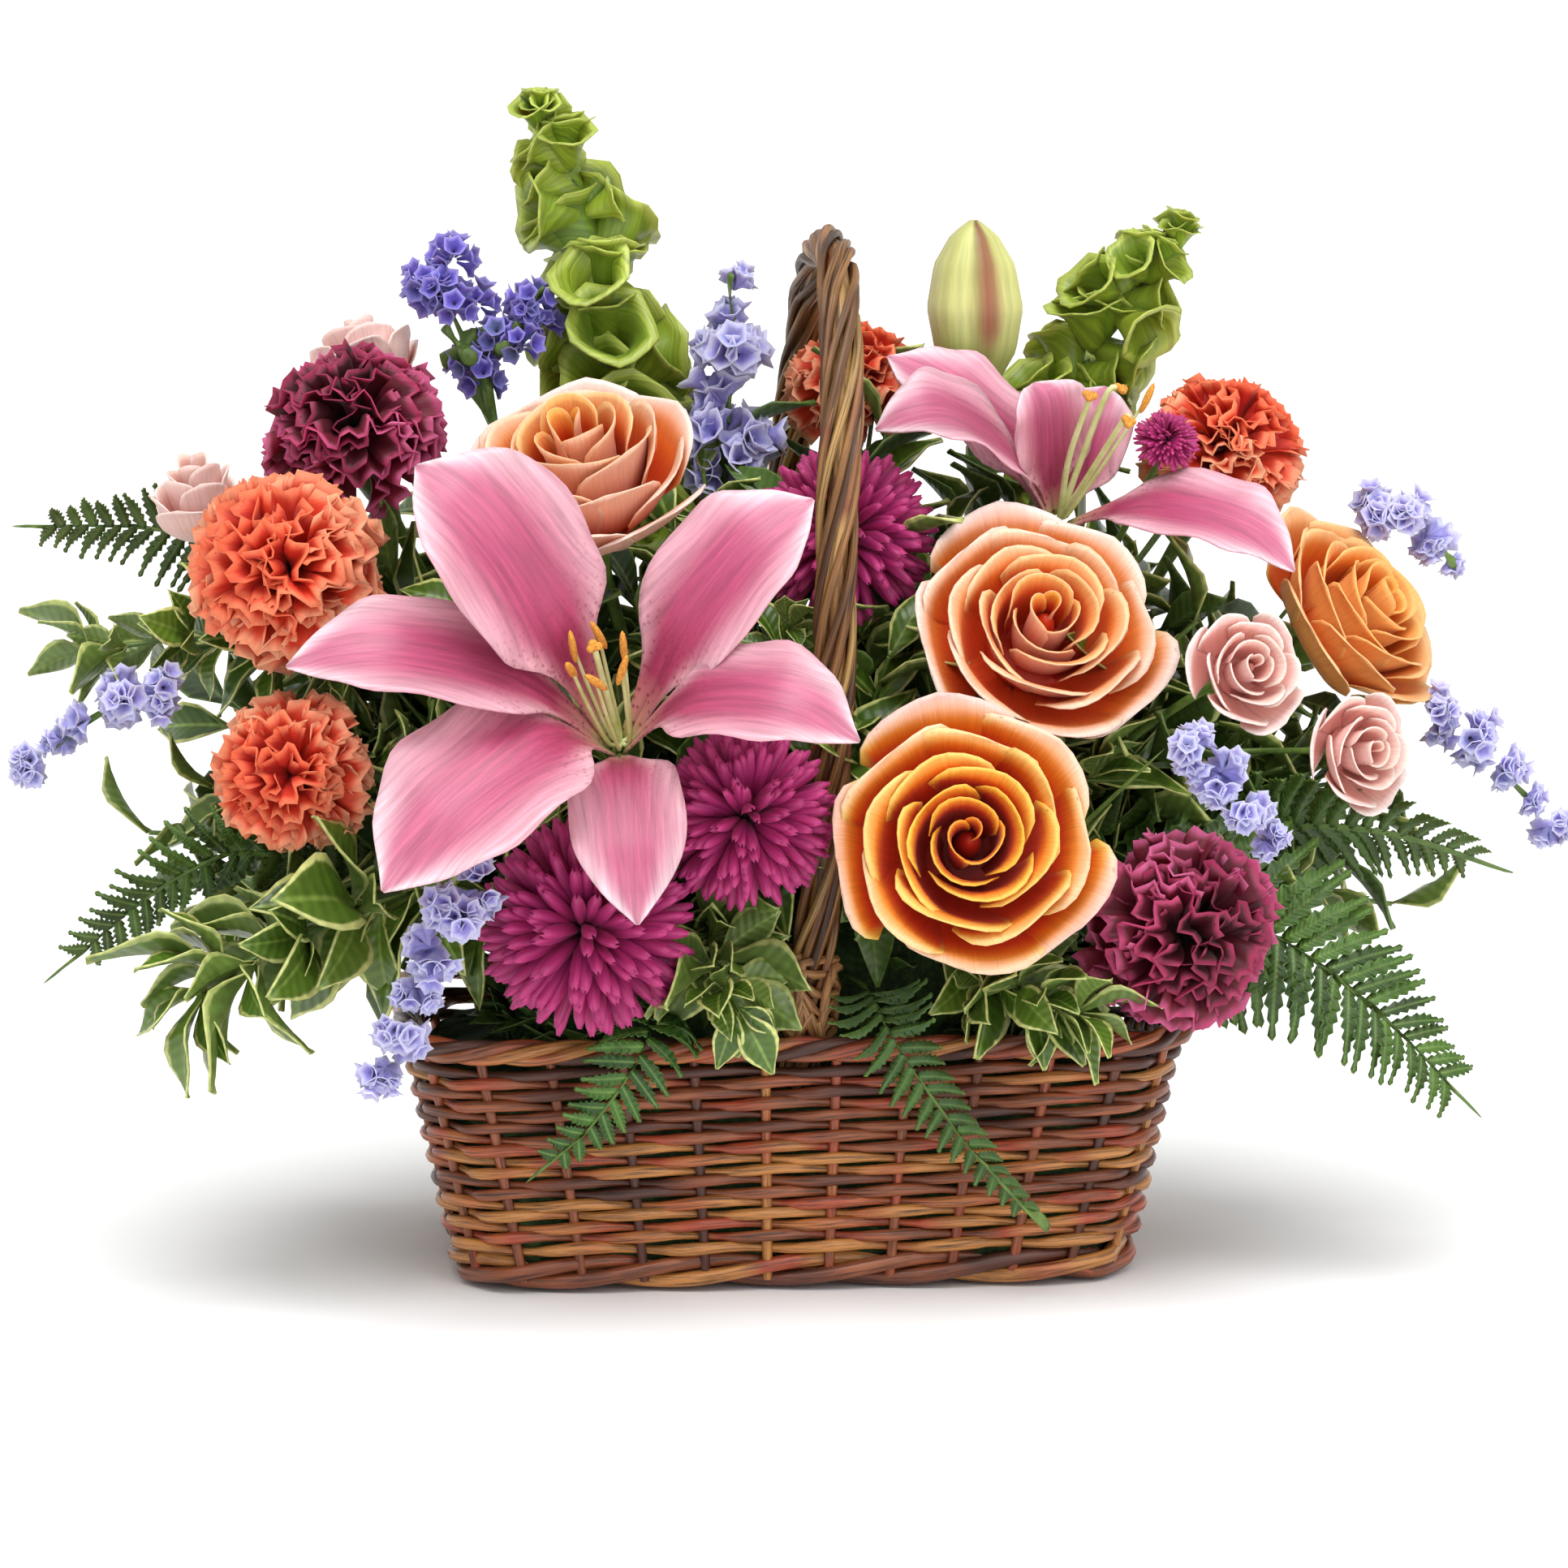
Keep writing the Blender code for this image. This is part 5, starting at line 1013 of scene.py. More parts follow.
def throatOf(name):  # where a lily's tepals part, and the way it faces
    middle, axis, _, _ = seatOf(name, f"{name}_stem", 2 * (len(solidOf(name)[0]) // tepalPoints))
    return middle + axis * 0.003, axis


def buildLily(name):
    points, _, links = solidOf(name)
    throat, axis = throatOf(name)
    order = np.argsort(np.linalg.norm(points - throat, axis=1))
    base = set(order[:4 * (len(points) // tepalPoints)].tolist())
    shells = [tepalShell(ringsOut(group, points, links, base), throat, axis, number)
              for number, group in enumerate(groupsOf(set(links) - base, links))]
    addPiece(f"bloom_{name}", meshOf(name, shells, lilyPink), [name])
    print("lily", name, len(shells), "tepals")


def buildStamens(name):
    points, _, links = solidOf(f"{name}_stamens")
    throat, axis = throatOf(name)
    base = set(np.argsort(np.linalg.norm(points - throat - axis * 0.002, axis=1))[:12].tolist())
    foot, steps = points[list(base)].mean(0), 14
    lines, radii, anthers = [], [], []
    for number, group in enumerate(groupsOf(set(links) - base, links)):
        rings = ringsOut(group, points, links, base)
        middles = [ring.mean(0) for ring in rings]
        if len(rings[0]) > 4:  # the pistil, with its three-lobed end
            lines.append(rounded([foot, *middles], steps))
            radii.append(np.linspace(*lilyForm["pistil"], steps))
            along = unit(middles[-1] - foot)
            ways = acrossAxes(along)
            for angle in (0, fullTurn / 3, fullTurn * 2 / 3):
                lobe = middles[-1] + 0.0013 * (ways[0] * math.cos(angle) + ways[1] * math.sin(angle))
                anthers.append(ballShell(lobe, (*ways, along), lilyForm["lobe"]))
            continue
        ring = rings[-2] if len(rings[-1]) == 1 else rings[-1]
        end = ring.mean(0)
        bend = (middles[0] + end) / 2 + 0.0015 * unit(end - foot - axis * 0.02)
        lines.append(rounded([foot, middles[0], bend, end], steps))
        radii.append(np.linspace(*lilyForm["filament"], steps))
        along = unit(end - foot)
        way = unit(0.55 * math.sin(2.1 * number + 0.4) * np.linalg.svd(ring - end)[2][0] + along)
        side = unit(np.cross(way, axis))
        ways = (way, side, np.cross(way, side))
        anthers.append(ballShell(end + along * 0.0012, ways, lilyForm["anther"], 7, 10))
    stalks = rods(lines, radii, filament, sides=6, unevenness=0.1, seed=31)
    addPiece(f"heart_{name}", joinMeshes(stalks, meshOf("anthers", anthers, pollen)), [f"{name}_stamens"])


for name in ("lily_front", "lily_back"):
    buildLily(name)
    buildStamens(name)


# Stems: rounded copies of the solid ones; the lily bud is made of its own pleated skin

plainStems = {f"{name}_stem": f"stalk_{name}" for name in (
    "rose_front", "rose_right", "rose_left", "rose_far_right", "lily_front")}
plainStems |= {f"spray_rose_stem_{side}": f"spray_stalk_{side}" for side in ("left", "right")}
for stem, piece in plainStems.items():
    points, faces, _ = solidOf(stem)
    addPiece(piece, restOf(points, faces, set(), freshStem), [stem])

budForm = {
    "reach": 0.052,        # how far below its tip the solid's bud goes
    "tuck": 0.008,         # how far the skin starts below it
    "longer": 0.013,
    "rows": 22,
    "columns": 36,
    "fullness": 0.74,
    "outline": ((0, 0.16), (0.06, 0.42), (0.25, 0.82), (0.5, 0.98), (0.75, 0.82), (0.92, 0.46), (1, 0.08)),
    "thick": 0.0006,
}


def backLilyStem():
    points, faces, links = solidOf("lily_back_stem")
    tip = points[np.argmax(points[:, 2])]
    bud = {i for i in links if np.linalg.norm(points[i] - tip) < budForm["reach"]}
    member = points[list(bud)]
    low = member[np.argsort(member[:, 2])[:4]].mean(0)
    axis = unit(tip - low)
    radius = np.linalg.norm(member - low - np.outer((member - low) @ axis, axis), axis=1).max()
    ways = acrossAxes(axis)
    foot, length = low - axis * budForm["tuck"], np.linalg.norm(tip - low) + budForm["longer"]
    v = np.linspace(0.0, 1, budForm["rows"])[:, None]
    u = np.linspace(0, fullTurn, budForm["columns"], endpoint=False)[None, :]
    third = u % (fullTurn / 3)
    pleat = 1 - 0.16 * np.exp(-(third - 0.3) ** 2 / 0.015) - 0.06 * np.exp(-(third - 1.35) ** 2 / 0.05)
    far = radius * budForm["fullness"] * np.interp(v, *zip(*budForm["outline"])) * pleat
    grid = around(foot + axis * (v * length)[..., None], ways, far, u)
    flank = np.clip(1 - np.abs(third - 0.75) / 0.6, 0, 1) * smooth(v, 0.05, 0.4)
    skin = sheetShell(grid[:, ::-1], budForm["thick"], ring=True, depth=v, lip=flank[:, ::-1], along=v * 50,
                      across=u * 6, tone=0.5)
    sizes = (radius * 0.55, radius * 0.55, length * 0.47)
    plug = ballShell(foot + axis * length * 0.5, (*ways, axis), sizes, 8, 12)
    mesh = joinMeshes(restOf(points, faces, bud, freshStem), meshOf("bud", [skin], budSkin),
                      meshOf("plug", [plug], freshStem))
    addPiece("stalk_lily_back", mesh, ["lily_back_stem"])


backLilyStem()
print("lilies and stems made")


# Carnations and chrysanthemums: petals on golden directions out of each solid's own heart

carnationForm = {"petals": 66, "widest": 116, "start": 0.14, "wide": 1.0, "change": 0.24, "tilt": 0.36,
                 "stemSides": 6, "sunk": 0.265, "spin": 1.5}
mumForm = {"petals": 230, "widest": 104, "start": 0.12, "wide": 0.145, "change": 0.13, "tilt": 0.22,
           "stemSides": 3, "sunk": 0.44, "spin": 0.5}

# Carnations: matt crepe whose paler cut edges are a painted highlight
coralCarnation = petalFinish(
    "coralCarnationPetal", [(0, "#C02416"), (0.5, "#E03C20"), (1, "#E84C2C")],
    [(0, "#EC6038"), (0.5, "#F27E54"), (1, "#F8A880")], 0.8, vein=0.2, veinWidth=1.6, rough=0.65)
burgundyCarnation = petalFinish(
    "burgundyCarnationPetal", [(0, "#36020E"), (0.5, "#5C061E"), (1, "#740A2A")],
    [(0, "#860F3C"), (0.6, "#B22C60"), (1, "#D25C8E")], 0.88, vein=0.2, veinWidth=1.6, rough=0.6)
# Chrysanthemum rays: silky; the near black-red towards the heart and at the rays' feet is painted shade
# between them, and the bright tips are a painted highlight
magentaMum = petalFinish(
    "chrysanthemumRay", [(0, "#58082F"), (0.4, "#980E56"), (1, "#B41868")],
    [(0, "#8E1450"), (0.5, "#C42874"), (1, "#D84A94")], 0.75, vein=0.22, back="#BE3078", veinWidth=1.0)


def bloomOnStem(name, corners, sunk):  # heart, axis and radius of a bloom, and the mesh of its stem
    points, faces, levels = levelsOf(name)
    k = next(i for i in range(3, len(levels)) if len(levels[i]) > corners)
    centre = points[list(levels[k - 1])].mean(0)
    axis = unit(centre - points[list(levels[k - 3])].mean(0))
    past = set().union(*levels[k:])
    member = points[list(past)] - centre
    across = np.linalg.norm(member - np.outer(member @ axis, axis), axis=1)
    radius = np.sort(across)[-6:].mean()
    return centre + axis * sunk * radius, axis, radius, restOf(points, faces, past, freshStem)


def fanPetal():  # a clawed petal that widens to a toothed, frilled edge
    columns = 13
    y = np.array((0.0, 0.4, 0.7, 0.88, 1.0))[:, None]
    x = np.linspace(-1, 1, columns)[None, :]
    teeth = np.where(np.arange(columns) % 2, -0.035, 0.025)[None, :]
    frill = 0.13 * np.sin(9.0 * x + 0.8) + 0.05 * np.sin(4.1 * x)
    far = y * (1 - 0.14 * x * x) + teeth * (y > 0.97)
    wide = (0.10 + 0.40 * y ** 1.3) * x
    high = frill * smooth(y, 0.35, 1) + 0.10 * np.sin(2.6 * x + 0.6) * y
    high = high + 0.12 * smooth(y, 0.7, 1) ** 2 - 0.05
    shell = sheetShell(np.stack([wide, far, high], -1), 0.016, lip=y, along=y * 30, across=wide * 34)
    return meshOf("fanPetal", [shell], coralCarnation)


def spoonPetal():  # a narrow cupped ray
    y = np.array((0.0, 0.35, 0.7, 0.9, 1.0))[:, None]
    x = np.linspace(-1, 1, 4)[None, :]
    wide = np.array((0.22, 0.42, 0.5, 0.36, 0.1))[:, None] * x
    high = 0.10 * (x * x - 0.5) * np.sin(2.6 * y) + 0.16 * y ** 3
    shell = sheetShell(np.stack([wide, y + 0 * wide, high], -1), 0.02, lip=y, along=y * 22, across=wide * 6)
    return meshOf("spoonPetal", [shell], magentaMum)


def goldenDirections(count, widest, axis):  # directions from the top of a bloom down its sides
    lowest = math.cos(math.radians(widest))
    high = 1 - (1 - lowest) * (np.arange(count) + 0.5) / count
    turn = np.arange(count) * goldenTurn
    return around(axis * high[:, None], acrossAxes(axis), np.sqrt(1 - high * high), turn), high


def buildPompon(name, form, part, finish):
    heart, axis, radius, stem = bloomOnStem(name, form["stemSides"], form["sunk"])
    directions, high = goldenDirections(form["petals"], form["widest"], axis)
    reach = radius * (1 - form["start"]) * (1 - 0.10 * np.clip(high, 0, 1) ** 2)
    spots = []
    for k, (out, length) in enumerate(zip(directions, reach)):
        side = unit(np.cross(axis, out) if abs(out @ axis) < 0.985 else acrossAxes(axis)[0])
        angle = form["spin"] * math.sin(3.1 * k + 1)
        side = side * math.cos(angle) + np.cross(side, out) * math.sin(angle)
        spots.append((heart + out * (form["start"] * radius), frameOf(side, out),
                      (radius * form["wide"], length, radius * 0.8)))
    petals = scatter(spots, part, finish, len(name), form["change"], form["tilt"],
                     depth=1 - np.clip(high, 0, 1) ** 1.5)
    addPiece(f"bloom_{name}", joinMeshes(petals, stem), [name])


fan, spoon = fanPetal(), spoonPetal()
for name in sorted(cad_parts):
    if name.startswith("carnation_coral"):
        buildPompon(name, carnationForm, fan.copy(), coralCarnation)
    elif name.startswith("carnation_"):
        buildPompon(name, carnationForm, fan.copy(), burgundyCarnation)
    elif name.startswith("mum_"):
        buildPompon(name, mumForm, spoon.copy(), magentaMum)
print("carnations and chrysanthemums made")


# Leaves and florets: each of a solid's blades gets the finer leaf, cup or pinna that stands there

foliage = {
    "leafThick": 0.02,     # of a leaf's length
    "cupThick": 0.03,
    "pinnaStep": 0.0056,
    "frondSteps": 120,
    "youngLeaves": ((0.9, 0.8, 0.35), (-0.8, 0.7, -0.3), (0.35, 0.75, -0.7), (-0.45, 0.65, 0.7)),
    "papers": 9,
    "paperSize": 0.62,
    "tuftPapers": 9,
    "tuftPaper": 0.0075,
    "bellsEach": 2,
}

# Fern: dull leathery green, paler on the rib and hardly lighter at the edge
fernGreen = leafFinish(
    "leatherleafFrond", [(0, "#26400F"), (0.5, "#385818"), (1, "#4C7222")], "#5A7C2C", "#688838", "#3E5622",
    edgeFrom=0.97, veinStep=2.2, rough=0.5)
frontFernGreen = leafFinish(
    "freshFernFrond", [(0, "#20460E"), (0.5, "#305C18"), (1, "#467422")], "#567E2C", "#6E9240", "#3A5A22",
    edgeFrom=0.97, veinStep=2.0, rough=0.5)
# Pittosporum: waxy leaf with a cream edge
creamEdgedLeaf = leafFinish(
    "variegatedPittosporum", [(0, "#34500F"), (0.5, "#4A681C"), (1, "#66822A")], "#CDD280", "#86A048",
    "#748A48", edgeFrom=0.84, veinStep=5.0, rough=0.35)
# Statice: dry papery calyces in two blues; bells of Ireland: smooth veined green ones
paperBlue = petalFinish("staticeCalyx", [(0, "#5A6A9A"), (0.4, "#5A50B4"), (1, "#6A5CC4")],
                        [(0, "#8A80D0"), (1, "#9A90DC")], 0.8, vein=0.25, rough=0.75, velvet=0.3)
paperLavender = petalFinish("paleStaticeCalyx", [(0, "#9A9CD0"), (0.4, "#9C94DC"), (1, "#B0A8E6")],
                            [(0, "#C8C6EE"), (1, "#DAD8F4")], 0.75, vein=0.2, rough=0.75, velvet=0.3)
bellGreen = petalFinish("bellsOfIrelandCalyx", [(0, "#5E7A1C"), (0.4, "#7E9826"), (1, "#98AC34")],
                        [(0, "#A8B848"), (1, "#B8C65C")], 0.88, vein=0.4, veinWidth=1.4, rough=0.4)


def bladePart(name, widths, bends, finish, long, wide, columns, teeth=0.0):
    # a leaf along y, one unit long and wide; long and wide in mm give its veins their scale
    y = np.linspace(0, 1, len(widths))[:, None]
    x = np.linspace(-1, 1, columns)[None, :]
    aside = np.array(widths)[:, None] * 0.5 * x
    cupped = 0.10 * np.abs(x) * np.sin(math.pi * y)
    high = np.array(bends)[:, None] + cupped + 0.03 * np.sin(9 * y + 2 * x) * np.abs(x)
    far = y - teeth * np.abs(x) * np.where(np.arange(len(widths)) % 2, 1.0, 0.0)[:, None]
    grid, lip = np.stack([aside, far, high], -1), np.maximum(np.abs(x), smooth(y, 0.82, 1.02))
    shell = sheetShell(grid, foliage["leafThick"], lip=lip, along=far * long, across=aside * wide)
    return meshOf(name, [shell], finish)


def cupPart(name, profile, finish, columns, cut, ruffle, long):
    # an open five-lobed cup along y, one unit long
    y, r = (np.array(values)[:, None] for values in zip(*profile))
    u = np.linspace(0, fullTurn, columns, endpoint=False)[None, :]
    share = smooth(y, 0.3, 1.0)
    far = y - cut * share * (0.5 - 0.5 * np.cos(5 * u))
    wide = r * (1 + ruffle * share * np.sin(5 * u + 0.7))
    grid = np.stack([wide * np.cos(u), far, -wide * np.sin(u)], -1)
    shell = sheetShell(grid, foliage["cupThick"], ring=True, lip=y / y.max(), along=far * long,
                       across=wide * u * long * 0.5)
    return meshOf(name, [shell], finish)


def rachisOf(name):  # the middle line of a frond's stalk, from the foam out
    points, faces, links = solidOf(name)
    low, high = boxOf("floral_foam")
    left = [points[list(triple)].mean(0) for triple in stalkTriples(faces, links)]
    left.sort(key=lambda p: np.linalg.norm(np.maximum(low - p, 0) + np.maximum(p - high, 0)) + 0.01 * p[2])
    line = [left.pop(0)]
    while left:
        line.append(left.pop(min(range(len(left)), key=lambda i: np.linalg.norm(left[i] - line[-1]))))
    return rounded(line, foliage["frondSteps"])


def buildFern(name, finish):
    points, faces, blades, taken = bladesOf(name, 5)
    line, steps = rachisOf(name), foliage["frondSteps"]
    reach = [tipOf(points[list(group)], root) - root for group, root in blades]
    at = [int(np.argmin(np.linalg.norm(line - root, axis=1))) for _, root in blades]
    start = max(min(at) - 2, 0)
    line = spread(line[start:], steps)
    place = np.clip((np.array(at) - start) / (steps - start), 0, 0.95)
    longest = np.sort([np.linalg.norm(way) / (1 - 0.72 * t) for way, t in zip(reach, place)])[-3:].mean()
    across = sum(way * np.sign(way @ reach[0]) for way in reach)
    along = unit(np.gradient(line, axis=0))
    count = 2 * int(np.linalg.norm(np.diff(line, axis=0), axis=1).sum() / foliage["pinnaStep"])
    spots = []
    for k in range(count):  # pinnae by turns to the left and the right
        t = (k + 0.5) / count
        i, hand = int(t * (steps - 1)), 1 if k % 2 else -1
        side = unit(across - along[i] * (across @ along[i])) * hand
        face = np.cross(side, along[i]) * hand
        way = unit(side + along[i] * (0.30 + 0.5 * t) - face * 0.12)
        length = longest * (1 - 0.74 * t) * (0.75 + 0.25 * smooth(t, 0, 0.12))
        spots.append((line[i], frameFacing(way, face), (max(0.0055, 0.24 * length), length, length)))
    y = np.linspace(0, 1, 15)
    toothed = np.where(np.arange(15) % 2, 1.0, 0.62)
    widths = (0.35 + 0.65 * np.sin(math.pi * np.clip(y * 1.1 + 0.12, 0, 1)) ** 0.6) * toothed
    widths[-1] = 0.06
    bends = 0.05 * np.sin(math.pi * y) - 0.08 * y ** 3
    part = bladePart("pinna", widths, bends, finish, 40.0, 9.0, columns=3, teeth=-0.035)
    leaves = scatter(spots, part, finish, seed=len(name), change=0.12, tilt=0.09)
    rest = restOf(points, faces, taken, freshStem)
    addPiece(f"frond_{name}", joinMeshes(leaves, rest), [name])


def buildPittosporum(name):
    points, faces, blades, taken = bladesOf(name, 9)
    spots = []
    for k, (group, root) in enumerate(blades):
        length, width, across, along, normal = bladeFrame(points, group, root)
        spots.append((root, frameOf(across, along), (width * 1.2, length, length)))
        for hand, share, lift in foliage["youngLeaves"]:
            way = unit(along + across * hand + normal * lift * (1 + 0.5 * math.sin(k)))
            sizes = (width * 1.1 * share, length * share, length * share)
            spots.append((root, frameFacing(way, normal), sizes))
    widths = [0.10, 0.16, 0.5, 0.82, 1.0, 0.98, 0.74, 0.36, 0.08]
    bends = [0, 0.02, 0.05, 0.07, 0.07, 0.05, 0.02, -0.02, -0.05]
    part = bladePart("leaf", widths, bends, creamEdgedLeaf, 42.0, 17.0, columns=7)
    leaves = scatter(spots, part, creamEdgedLeaf, seed=len(name) + 3, change=0.10, tilt=0.12)
    rest = restOf(points, faces, taken, freshStem)
    addPiece(f"leaves_{name}", joinMeshes(leaves, rest), [name])


def clustersOf(points, radius):  # middles of the clumps that points fall into
    left, middles = list(points), []
    while left:
        near = [p for p in left if np.linalg.norm(p - left[0]) < radius]
        middles.append(np.mean(near, 0))
        left = [p for p in left if np.linalg.norm(p - left[0]) >= radius]
    return middles


def buildStatice(name, finish):
    points, faces, blades, taken = bladesOf(name, 5)
    papers = []  # place, direction, turn and size of each
    for k, (group, root) in enumerate(blades):
        length, _, across, along, normal = bladeFrame(points, group, root)
        for j in range(foliage["papers"]):  # the first stands in the middle of the others
            angle = fullTurn * j / (foliage["papers"] - 1) + k
            lean, start = (0.75, 0.1) if j else (0.0, 0.34)
            way = unit(along + lean * (across * math.cos(angle) + normal * math.sin(angle)))
            papers.append((root + along * length * start, way, angle, length * foliage["paperSize"]))
    if "upper" in name:  # its florets stand in tufts at the ends of branches
        top = points[:, 2].max()
        for k, middle in enumerate(clustersOf(points[points[:, 2] > top - 0.055], 0.017)):
            for j, way in enumerate(goldenDirections(foliage["tuftPapers"], 120, up)[0]):
                papers.append((middle + way * 0.002, way, j + k, foliage["tuftPaper"]))
        taken |= set(np.flatnonzero(points[:, 2] > top - 0.012))
    spots = [(place, frameOf(acrossAxes(way, angle)[0], way), [size] * 3)
             for place, way, angle, size in papers]
    profile = [(0.0, 0.07), (0.45, 0.14), (0.8, 0.32), (1.05, 0.56)]
    part = cupPart("papers", profile, finish, columns=10, cut=0.14, ruffle=0.16, long=9.0)
    cups = scatter(spots, part, finish, seed=len(name) + 5, change=0.3, tilt=0.3,
                   depth=dice.uniform(0, 1, len(spots)))
    rest = restOf(points, faces, taken, freshStem)
    addPiece(f"florets_{name}", joinMeshes(cups, rest), [name])


def buildBells(name):
    points, faces, blades, taken = bladesOf(name, 5)
    spots = []
    for k, (group, root) in enumerate(blades):
        length, width, across, along, normal = bladeFrame(points, group, root)
        for j in range(foliage["bellsEach"]):  # the second stands beside the first, a little higher
            way = unit(along + across * j * (0.75 if k % 2 else -0.75) + up * 0.35 * j)
            spots.append((root - along * 0.1 * length + up * 0.003 * j, frameFacing(way, normal),
                          np.array((width * 1.06, length * 1.04, width * 0.92)) * (1 - 0.12 * j)))
    profile = [(0.0, 0.06), (0.2, 0.2), (0.5, 0.29), (0.78, 0.38), (0.92, 0.5), (0.97, 0.62)]
    part = cupPart("bell", profile, bellGreen, columns=16, cut=0.07, ruffle=0.07, long=22.0)
    cups = scatter(spots, part, bellGreen, seed=7, change=0.08, tilt=0.12,
                   depth=dice.uniform(0, 1, len(spots)))
    rest = restOf(points, faces, taken, freshStem)
    addPiece(f"bells_{name}", joinMeshes(cups, rest), [name])


for name in sorted(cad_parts):
    if name.startswith("fern_"):
        buildFern(name, frontFernGreen if "front" in name else fernGreen)
    elif name.startswith("pittosporum_"):
        buildPittosporum(name)
    elif name.startswith("statice_"):
        buildStatice(name, paperBlue if "upper" in name else paperLavender)
    elif name.startswith("bells_"):
        buildBells(name)
print("foliage made")


# Moss round the foam and inside the wall, where its dark rows paint shade into the weave's gaps, and leafy
# sprigs that fill the heart of the bouquet

filling = {
    "sprigs": 170,
    "widest": 103,                    # degrees that they lean out from upright
    "reach": (0.220, 0.084, 0.136),   # how far they grow from the middle, each way
    "middle": (0.0, 0.006, 0.138),
    "footReach": (0.075, 0.035),
    "footHeight": 0.098,
    "twigSteps": 16,
    "twigRadius": 0.0009,
    "leavesEach": 9,
    "leaf": (0.0165, 0.040),          # width and length
    "tufts": 420,
    "tuftLength": (0.014, 0.026),
    "mossLumps": 0.0011,
    "mossSteps": 160,
    "mossShadeInWall": ((0.008, 0.0072), (0.022, 0.0072), (0.038, 0.0072), (0.054, 0.0072), (0.066, 0.0072),
                   (0.071, 0.012)),   # heights, and the gap to the wall's line, of the dark moss rows that paint shade behind the weave
    "mossRoundFoam": ((1.04, 0.077), (1.03, 0.084)),    # shares of the foam's reach, and heights
    "mossOnFoam": ((1.02, 0.0), (0.97, 0.003), (0.88, 0.005), (0.7, 0.006), (0.45, 0.007), (0.2, 0.008)),
}

# Inner leaf: plain waxy green without the cream edge, its darker green painted shade
deepLeaf = leafFinish(
    "saladLeafInShade", [(0, "#22380F"), (0.5, "#3A561C"), (1, "#56742A")], "#66803A", "#6A863C", "#4A6230",
    edgeFrom=0.93, veinStep=4.0, rough=0.42)


def mossMound():  # packed inside the wall up to the rim, where its dark rows also paint shade into the gaps of the weave, then over the foam
    low, high = boxOf("floral_foam")
    half, top, cols = (high - low)[:2] / 2, high[2], filling["mossSteps"]
    u = np.linspace(0, fullTurn, cols, endpoint=False)
    shape = np.stack([np.sign(way) * np.abs(way) ** 0.42 for way in (np.cos(u), np.sin(u))], -1)
    turn = np.arctan2(shape[:, 1] * half[1], shape[:, 0] * half[0]) % fullTurn
    angles = np.linspace(0, fullTurn, outlineSteps, endpoint=False)
    rows = []
    # the rows inside the wall: a dark sheet behind the rods, painted shade for the gaps of the weave
    for z, gap in filling["mossShadeInWall"]:
        reach = np.interp(turn, angles, np.linalg.norm(wallLine(z), axis=1), period=fullTurn) - gap
        rows.append(np.stack([np.cos(turn) * reach, np.sin(turn) * reach, np.full(cols, z)], -1))
    shoulder = filling["mossRoundFoam"][-1][1]
    for share, z in (*filling["mossRoundFoam"], (1.035, (shoulder + top) / 2),
                     *((share, top + lift) for share, lift in filling["mossOnFoam"])):
        flat = shape * half * share + shape * 0.0016
        rows.append(np.concatenate([flat, np.full((cols, 1), z)], -1))
    grid = np.array(rows)
    grid[1:] += dice.normal(0, filling["mossLumps"], grid[1:].shape)
    points = np.concatenate([grid.reshape(-1, 3), [(0, 0, rows[0][0, 2]), (0, 0, top + 0.008)]])
    return meshOf("moss", [(points, closedFaces(len(rows), cols, upwards=True), {})], sheetMoss), grid


def leafPart(name, finish, long, wide):
    widths, bends = [0.10, 0.5, 0.9, 1.0, 0.8, 0.45, 0.06], [0, 0.03, 0.05, 0.05, 0.03, 0, -0.04]
    return bladePart(name, widths, bends, finish, long, wide, columns=3)


def mossTufts(grid):  # small leaves that stand out of the moss
    spots = []
    for _ in range(filling["tufts"]):
        row, col = dice.integers(6, 13), dice.integers(0, grid.shape[1])
        spot = grid[row, col]
        out = unit(spot * (1, 1, 0)) if 6 < row < 10 else unit(spot * (0.6, 0.6, 0) + up * 0.05)
        way = unit(out + up * dice.uniform(0.2, 0.9) + dice.normal(0, 0.35, 3))
        length = dice.uniform(*filling["tuftLength"])
        spots.append((spot - out * 0.002, frameOf(unit(np.cross(way, up) + 1e-6), way),
                      (length * 0.5, length, length)))
    return scatter(spots, leafPart("tuft", deepLeaf, 20.0, 9.0), deepLeaf, seed=91, change=0.2, tilt=0.3)


def sprigs(first, finish, longer):  # twigs fanned out over the foam, leaves in turn along each
    lines, spots = [], []
    directions, _ = goldenDirections(filling["sprigs"], filling["widest"], up)
    steps, leafWidth, leafLength = filling["twigSteps"], *filling["leaf"]
    for k in range(first, filling["sprigs"], 2):
        out = unit(directions[k] * (1.35, 1, 1))
        reach = np.array(filling["reach"]) * (1, 1, 1 + 0.4 * np.clip(out[1] + 0.3, 0, 1))
        end = np.array(filling["middle"]) + reach * out * dice.uniform(0.8, 1.0) * longer
        foot = np.array((*(filling["footReach"] * out[:2]), filling["footHeight"]))
        line = rounded([foot, (foot + end) / 2 + up * 0.018, end], steps)
        lines.append(line)
        along = unit(np.gradient(line, axis=0))
        for j in range(filling["leavesEach"]):  # over the outer two thirds of the twig
            i = int((steps - 1) * (0.36 + 0.64 * j / (filling["leavesEach"] - 1)))
            way = unit(along[i] * 0.75 + acrossAxes(along[i], j * goldenTurn + k)[0])
            spots.append((line[i], frameFacing(way, along[i]), (leafWidth, leafLength, leafLength)))
    leaves = scatter(spots, leafPart("sprigLeaf", finish, 40.0, 16.0), finish, seed=70 + first, change=0.35,
                     tilt=0.35)
    return joinMeshes(leaves, rods(lines, [filling["twigRadius"]] * len(lines), freshStem, sides=5, seed=44))


moss, mossGrid = mossMound()
addPiece("mossBed", joinMeshes(moss, mossTufts(mossGrid)), [])
addPiece("deepSprigs", sprigs(0, deepLeaf, 0.95), [])
addPiece("edgedSprigs", sprigs(1, creamEdgedLeaf, 1.0), [])
print("bouquet filled")


# Stage: a pale floor, soft light and the camera

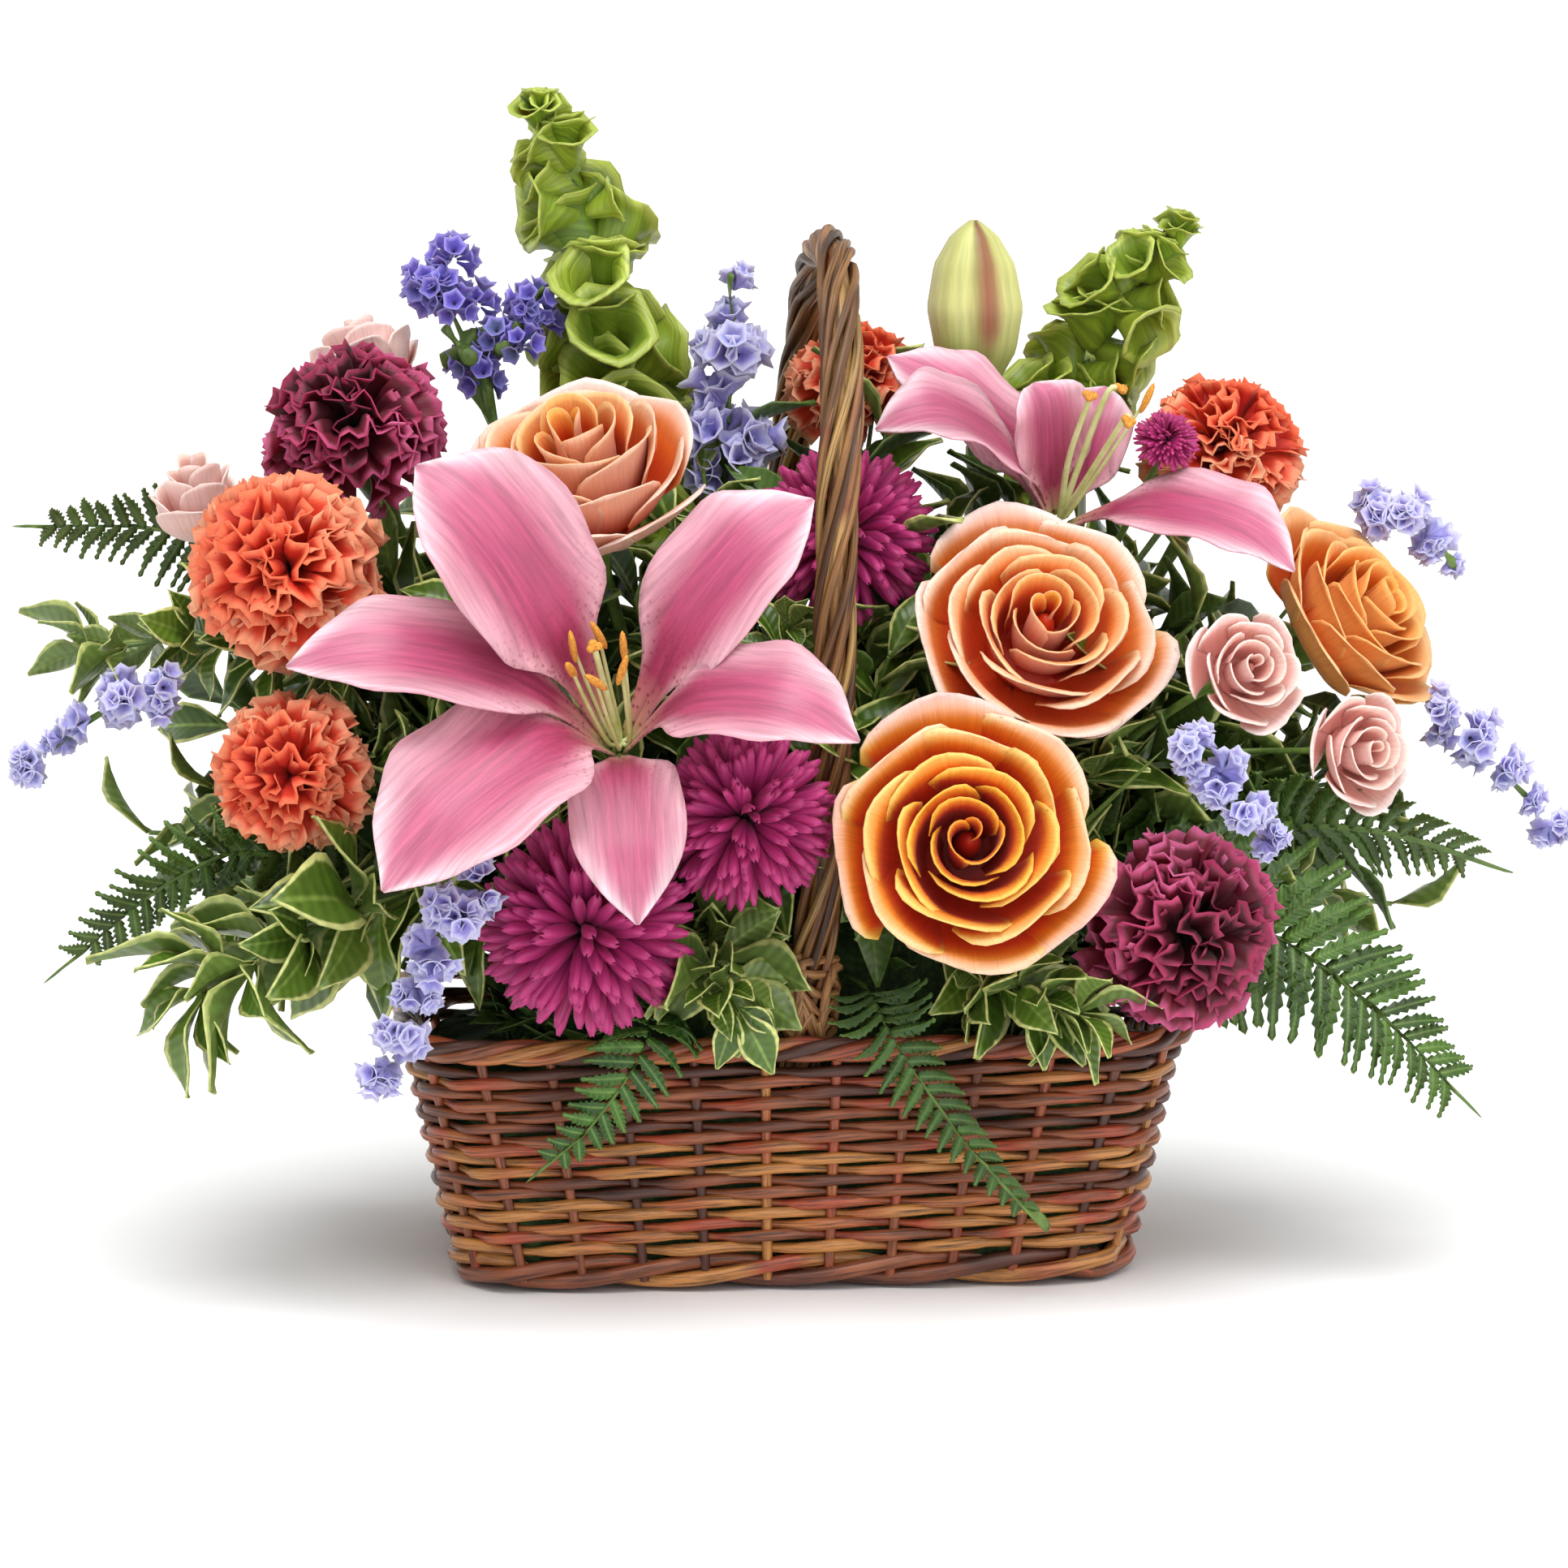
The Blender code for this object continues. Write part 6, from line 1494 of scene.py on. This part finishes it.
stage = {
    "azimuth": 4.0,
    "elevation": 8.0,
    "distance": 1.9,
    "target": (0.0, 0.0, 0.162),
    "lens": 126.44,
    "skyStrength": 0.62,
    "keyStrength": 2.45,
    "keySpread": 42,
    "keyWay": (0.06, 0.36, -0.93),
    "fillPlace": (0.9, -1.5, 0.9),
    "fillTarget": (0, 0, 0.15),
    "fillSize": 1.6,
    "fillPower": 9,
    "floorReach": 30.0,
    "floorSteps": 96,
    "surroundHeights": (-0.1, 5.0),
}


def setLights():
    world = bpy.data.worlds.new("studio")
    bpy.context.scene.world = world
    world.use_nodes = True
    feed(world.node_tree.nodes["Background"], {0: (1, 1, 1, 1), 1: stage["skyStrength"]})
    sun = bpy.data.lights.new("softKey", "SUN")
    sun.energy, sun.angle = stage["keyStrength"], math.radians(stage["keySpread"])
    putInScene("softKey", sun).rotation_euler = Vector(stage["keyWay"]).to_track_quat("-Z", "Y").to_euler()
    lamp = bpy.data.lights.new("fillLight", "AREA")
    lamp.shape, lamp.size, lamp.energy = "DISK", stage["fillSize"], stage["fillPower"]
    holder = putInScene("fillLight", lamp)
    holder.location = stage["fillPlace"]
    way = Vector(stage["fillTarget"]) - Vector(stage["fillPlace"])
    holder.rotation_euler = way.to_track_quat("-Z", "Y").to_euler()


def setFloor():
    count, reach = stage["floorSteps"], stage["floorReach"]
    angles = [fullTurn * k / count for k in range(count)]
    circle = [(reach * math.cos(angle), reach * math.sin(angle)) for angle in angles]
    # the surround glows evenly; the paper takes the shadow and hardly shines
    surround = startFinish("litWhiteSurround", {
        "Roughness": 1.0, "Base Color": (0.1, 0.1, 0.1, 1), "Emission Strength": 1.0,
        "Emission Color": (1, 1, 1, 1)})[0]
    paper = startFinish("matteWhitePaper", {
        "Roughness": 0.9, "Base Color": (0.95, 0.95, 0.95, 1), "Specular IOR Level": 0.1})[0]
    # a low white surround, so that no horizon shows from any side
    sides = [((k + 1) % count, k, k + count, (k + 1) % count + count) for k in range(count)]
    backdrop = newMesh("backdrop", [(x, y, z) for z in stage["surroundHeights"] for x, y in circle], [],
                       sides, surround)
    floor = newMesh("floor", [(x, y, 0) for x, y in circle], [], [tuple(range(count))], paper)
    for mesh in (backdrop, floor):
        putInScene(mesh.name, mesh)


def setCamera():
    yaw, pitch = math.radians(stage["azimuth"]), math.radians(stage["elevation"])
    view = Vector((math.sin(yaw) * math.cos(pitch), math.cos(yaw) * math.cos(pitch), -math.sin(pitch)))
    right = view.cross(Vector((0, 0, 1))).normalized()
    lens = bpy.data.cameras.new("camera")
    lens.sensor_width, lens.lens, lens.clip_end = 36, stage["lens"], 50
    camera = putInScene("camera", lens)
    turn = Matrix((right, right.cross(view), -view)).transposed().to_4x4()
    camera.matrix_world = Matrix.Translation(Vector(stage["target"]) - view * stage["distance"]) @ turn
    bpy.context.scene.camera = camera


setFloor()
setLights()
setCamera()
bpy.context.scene.view_settings.view_transform = "Standard"  # keeps the petals' full colour
print("stage set")
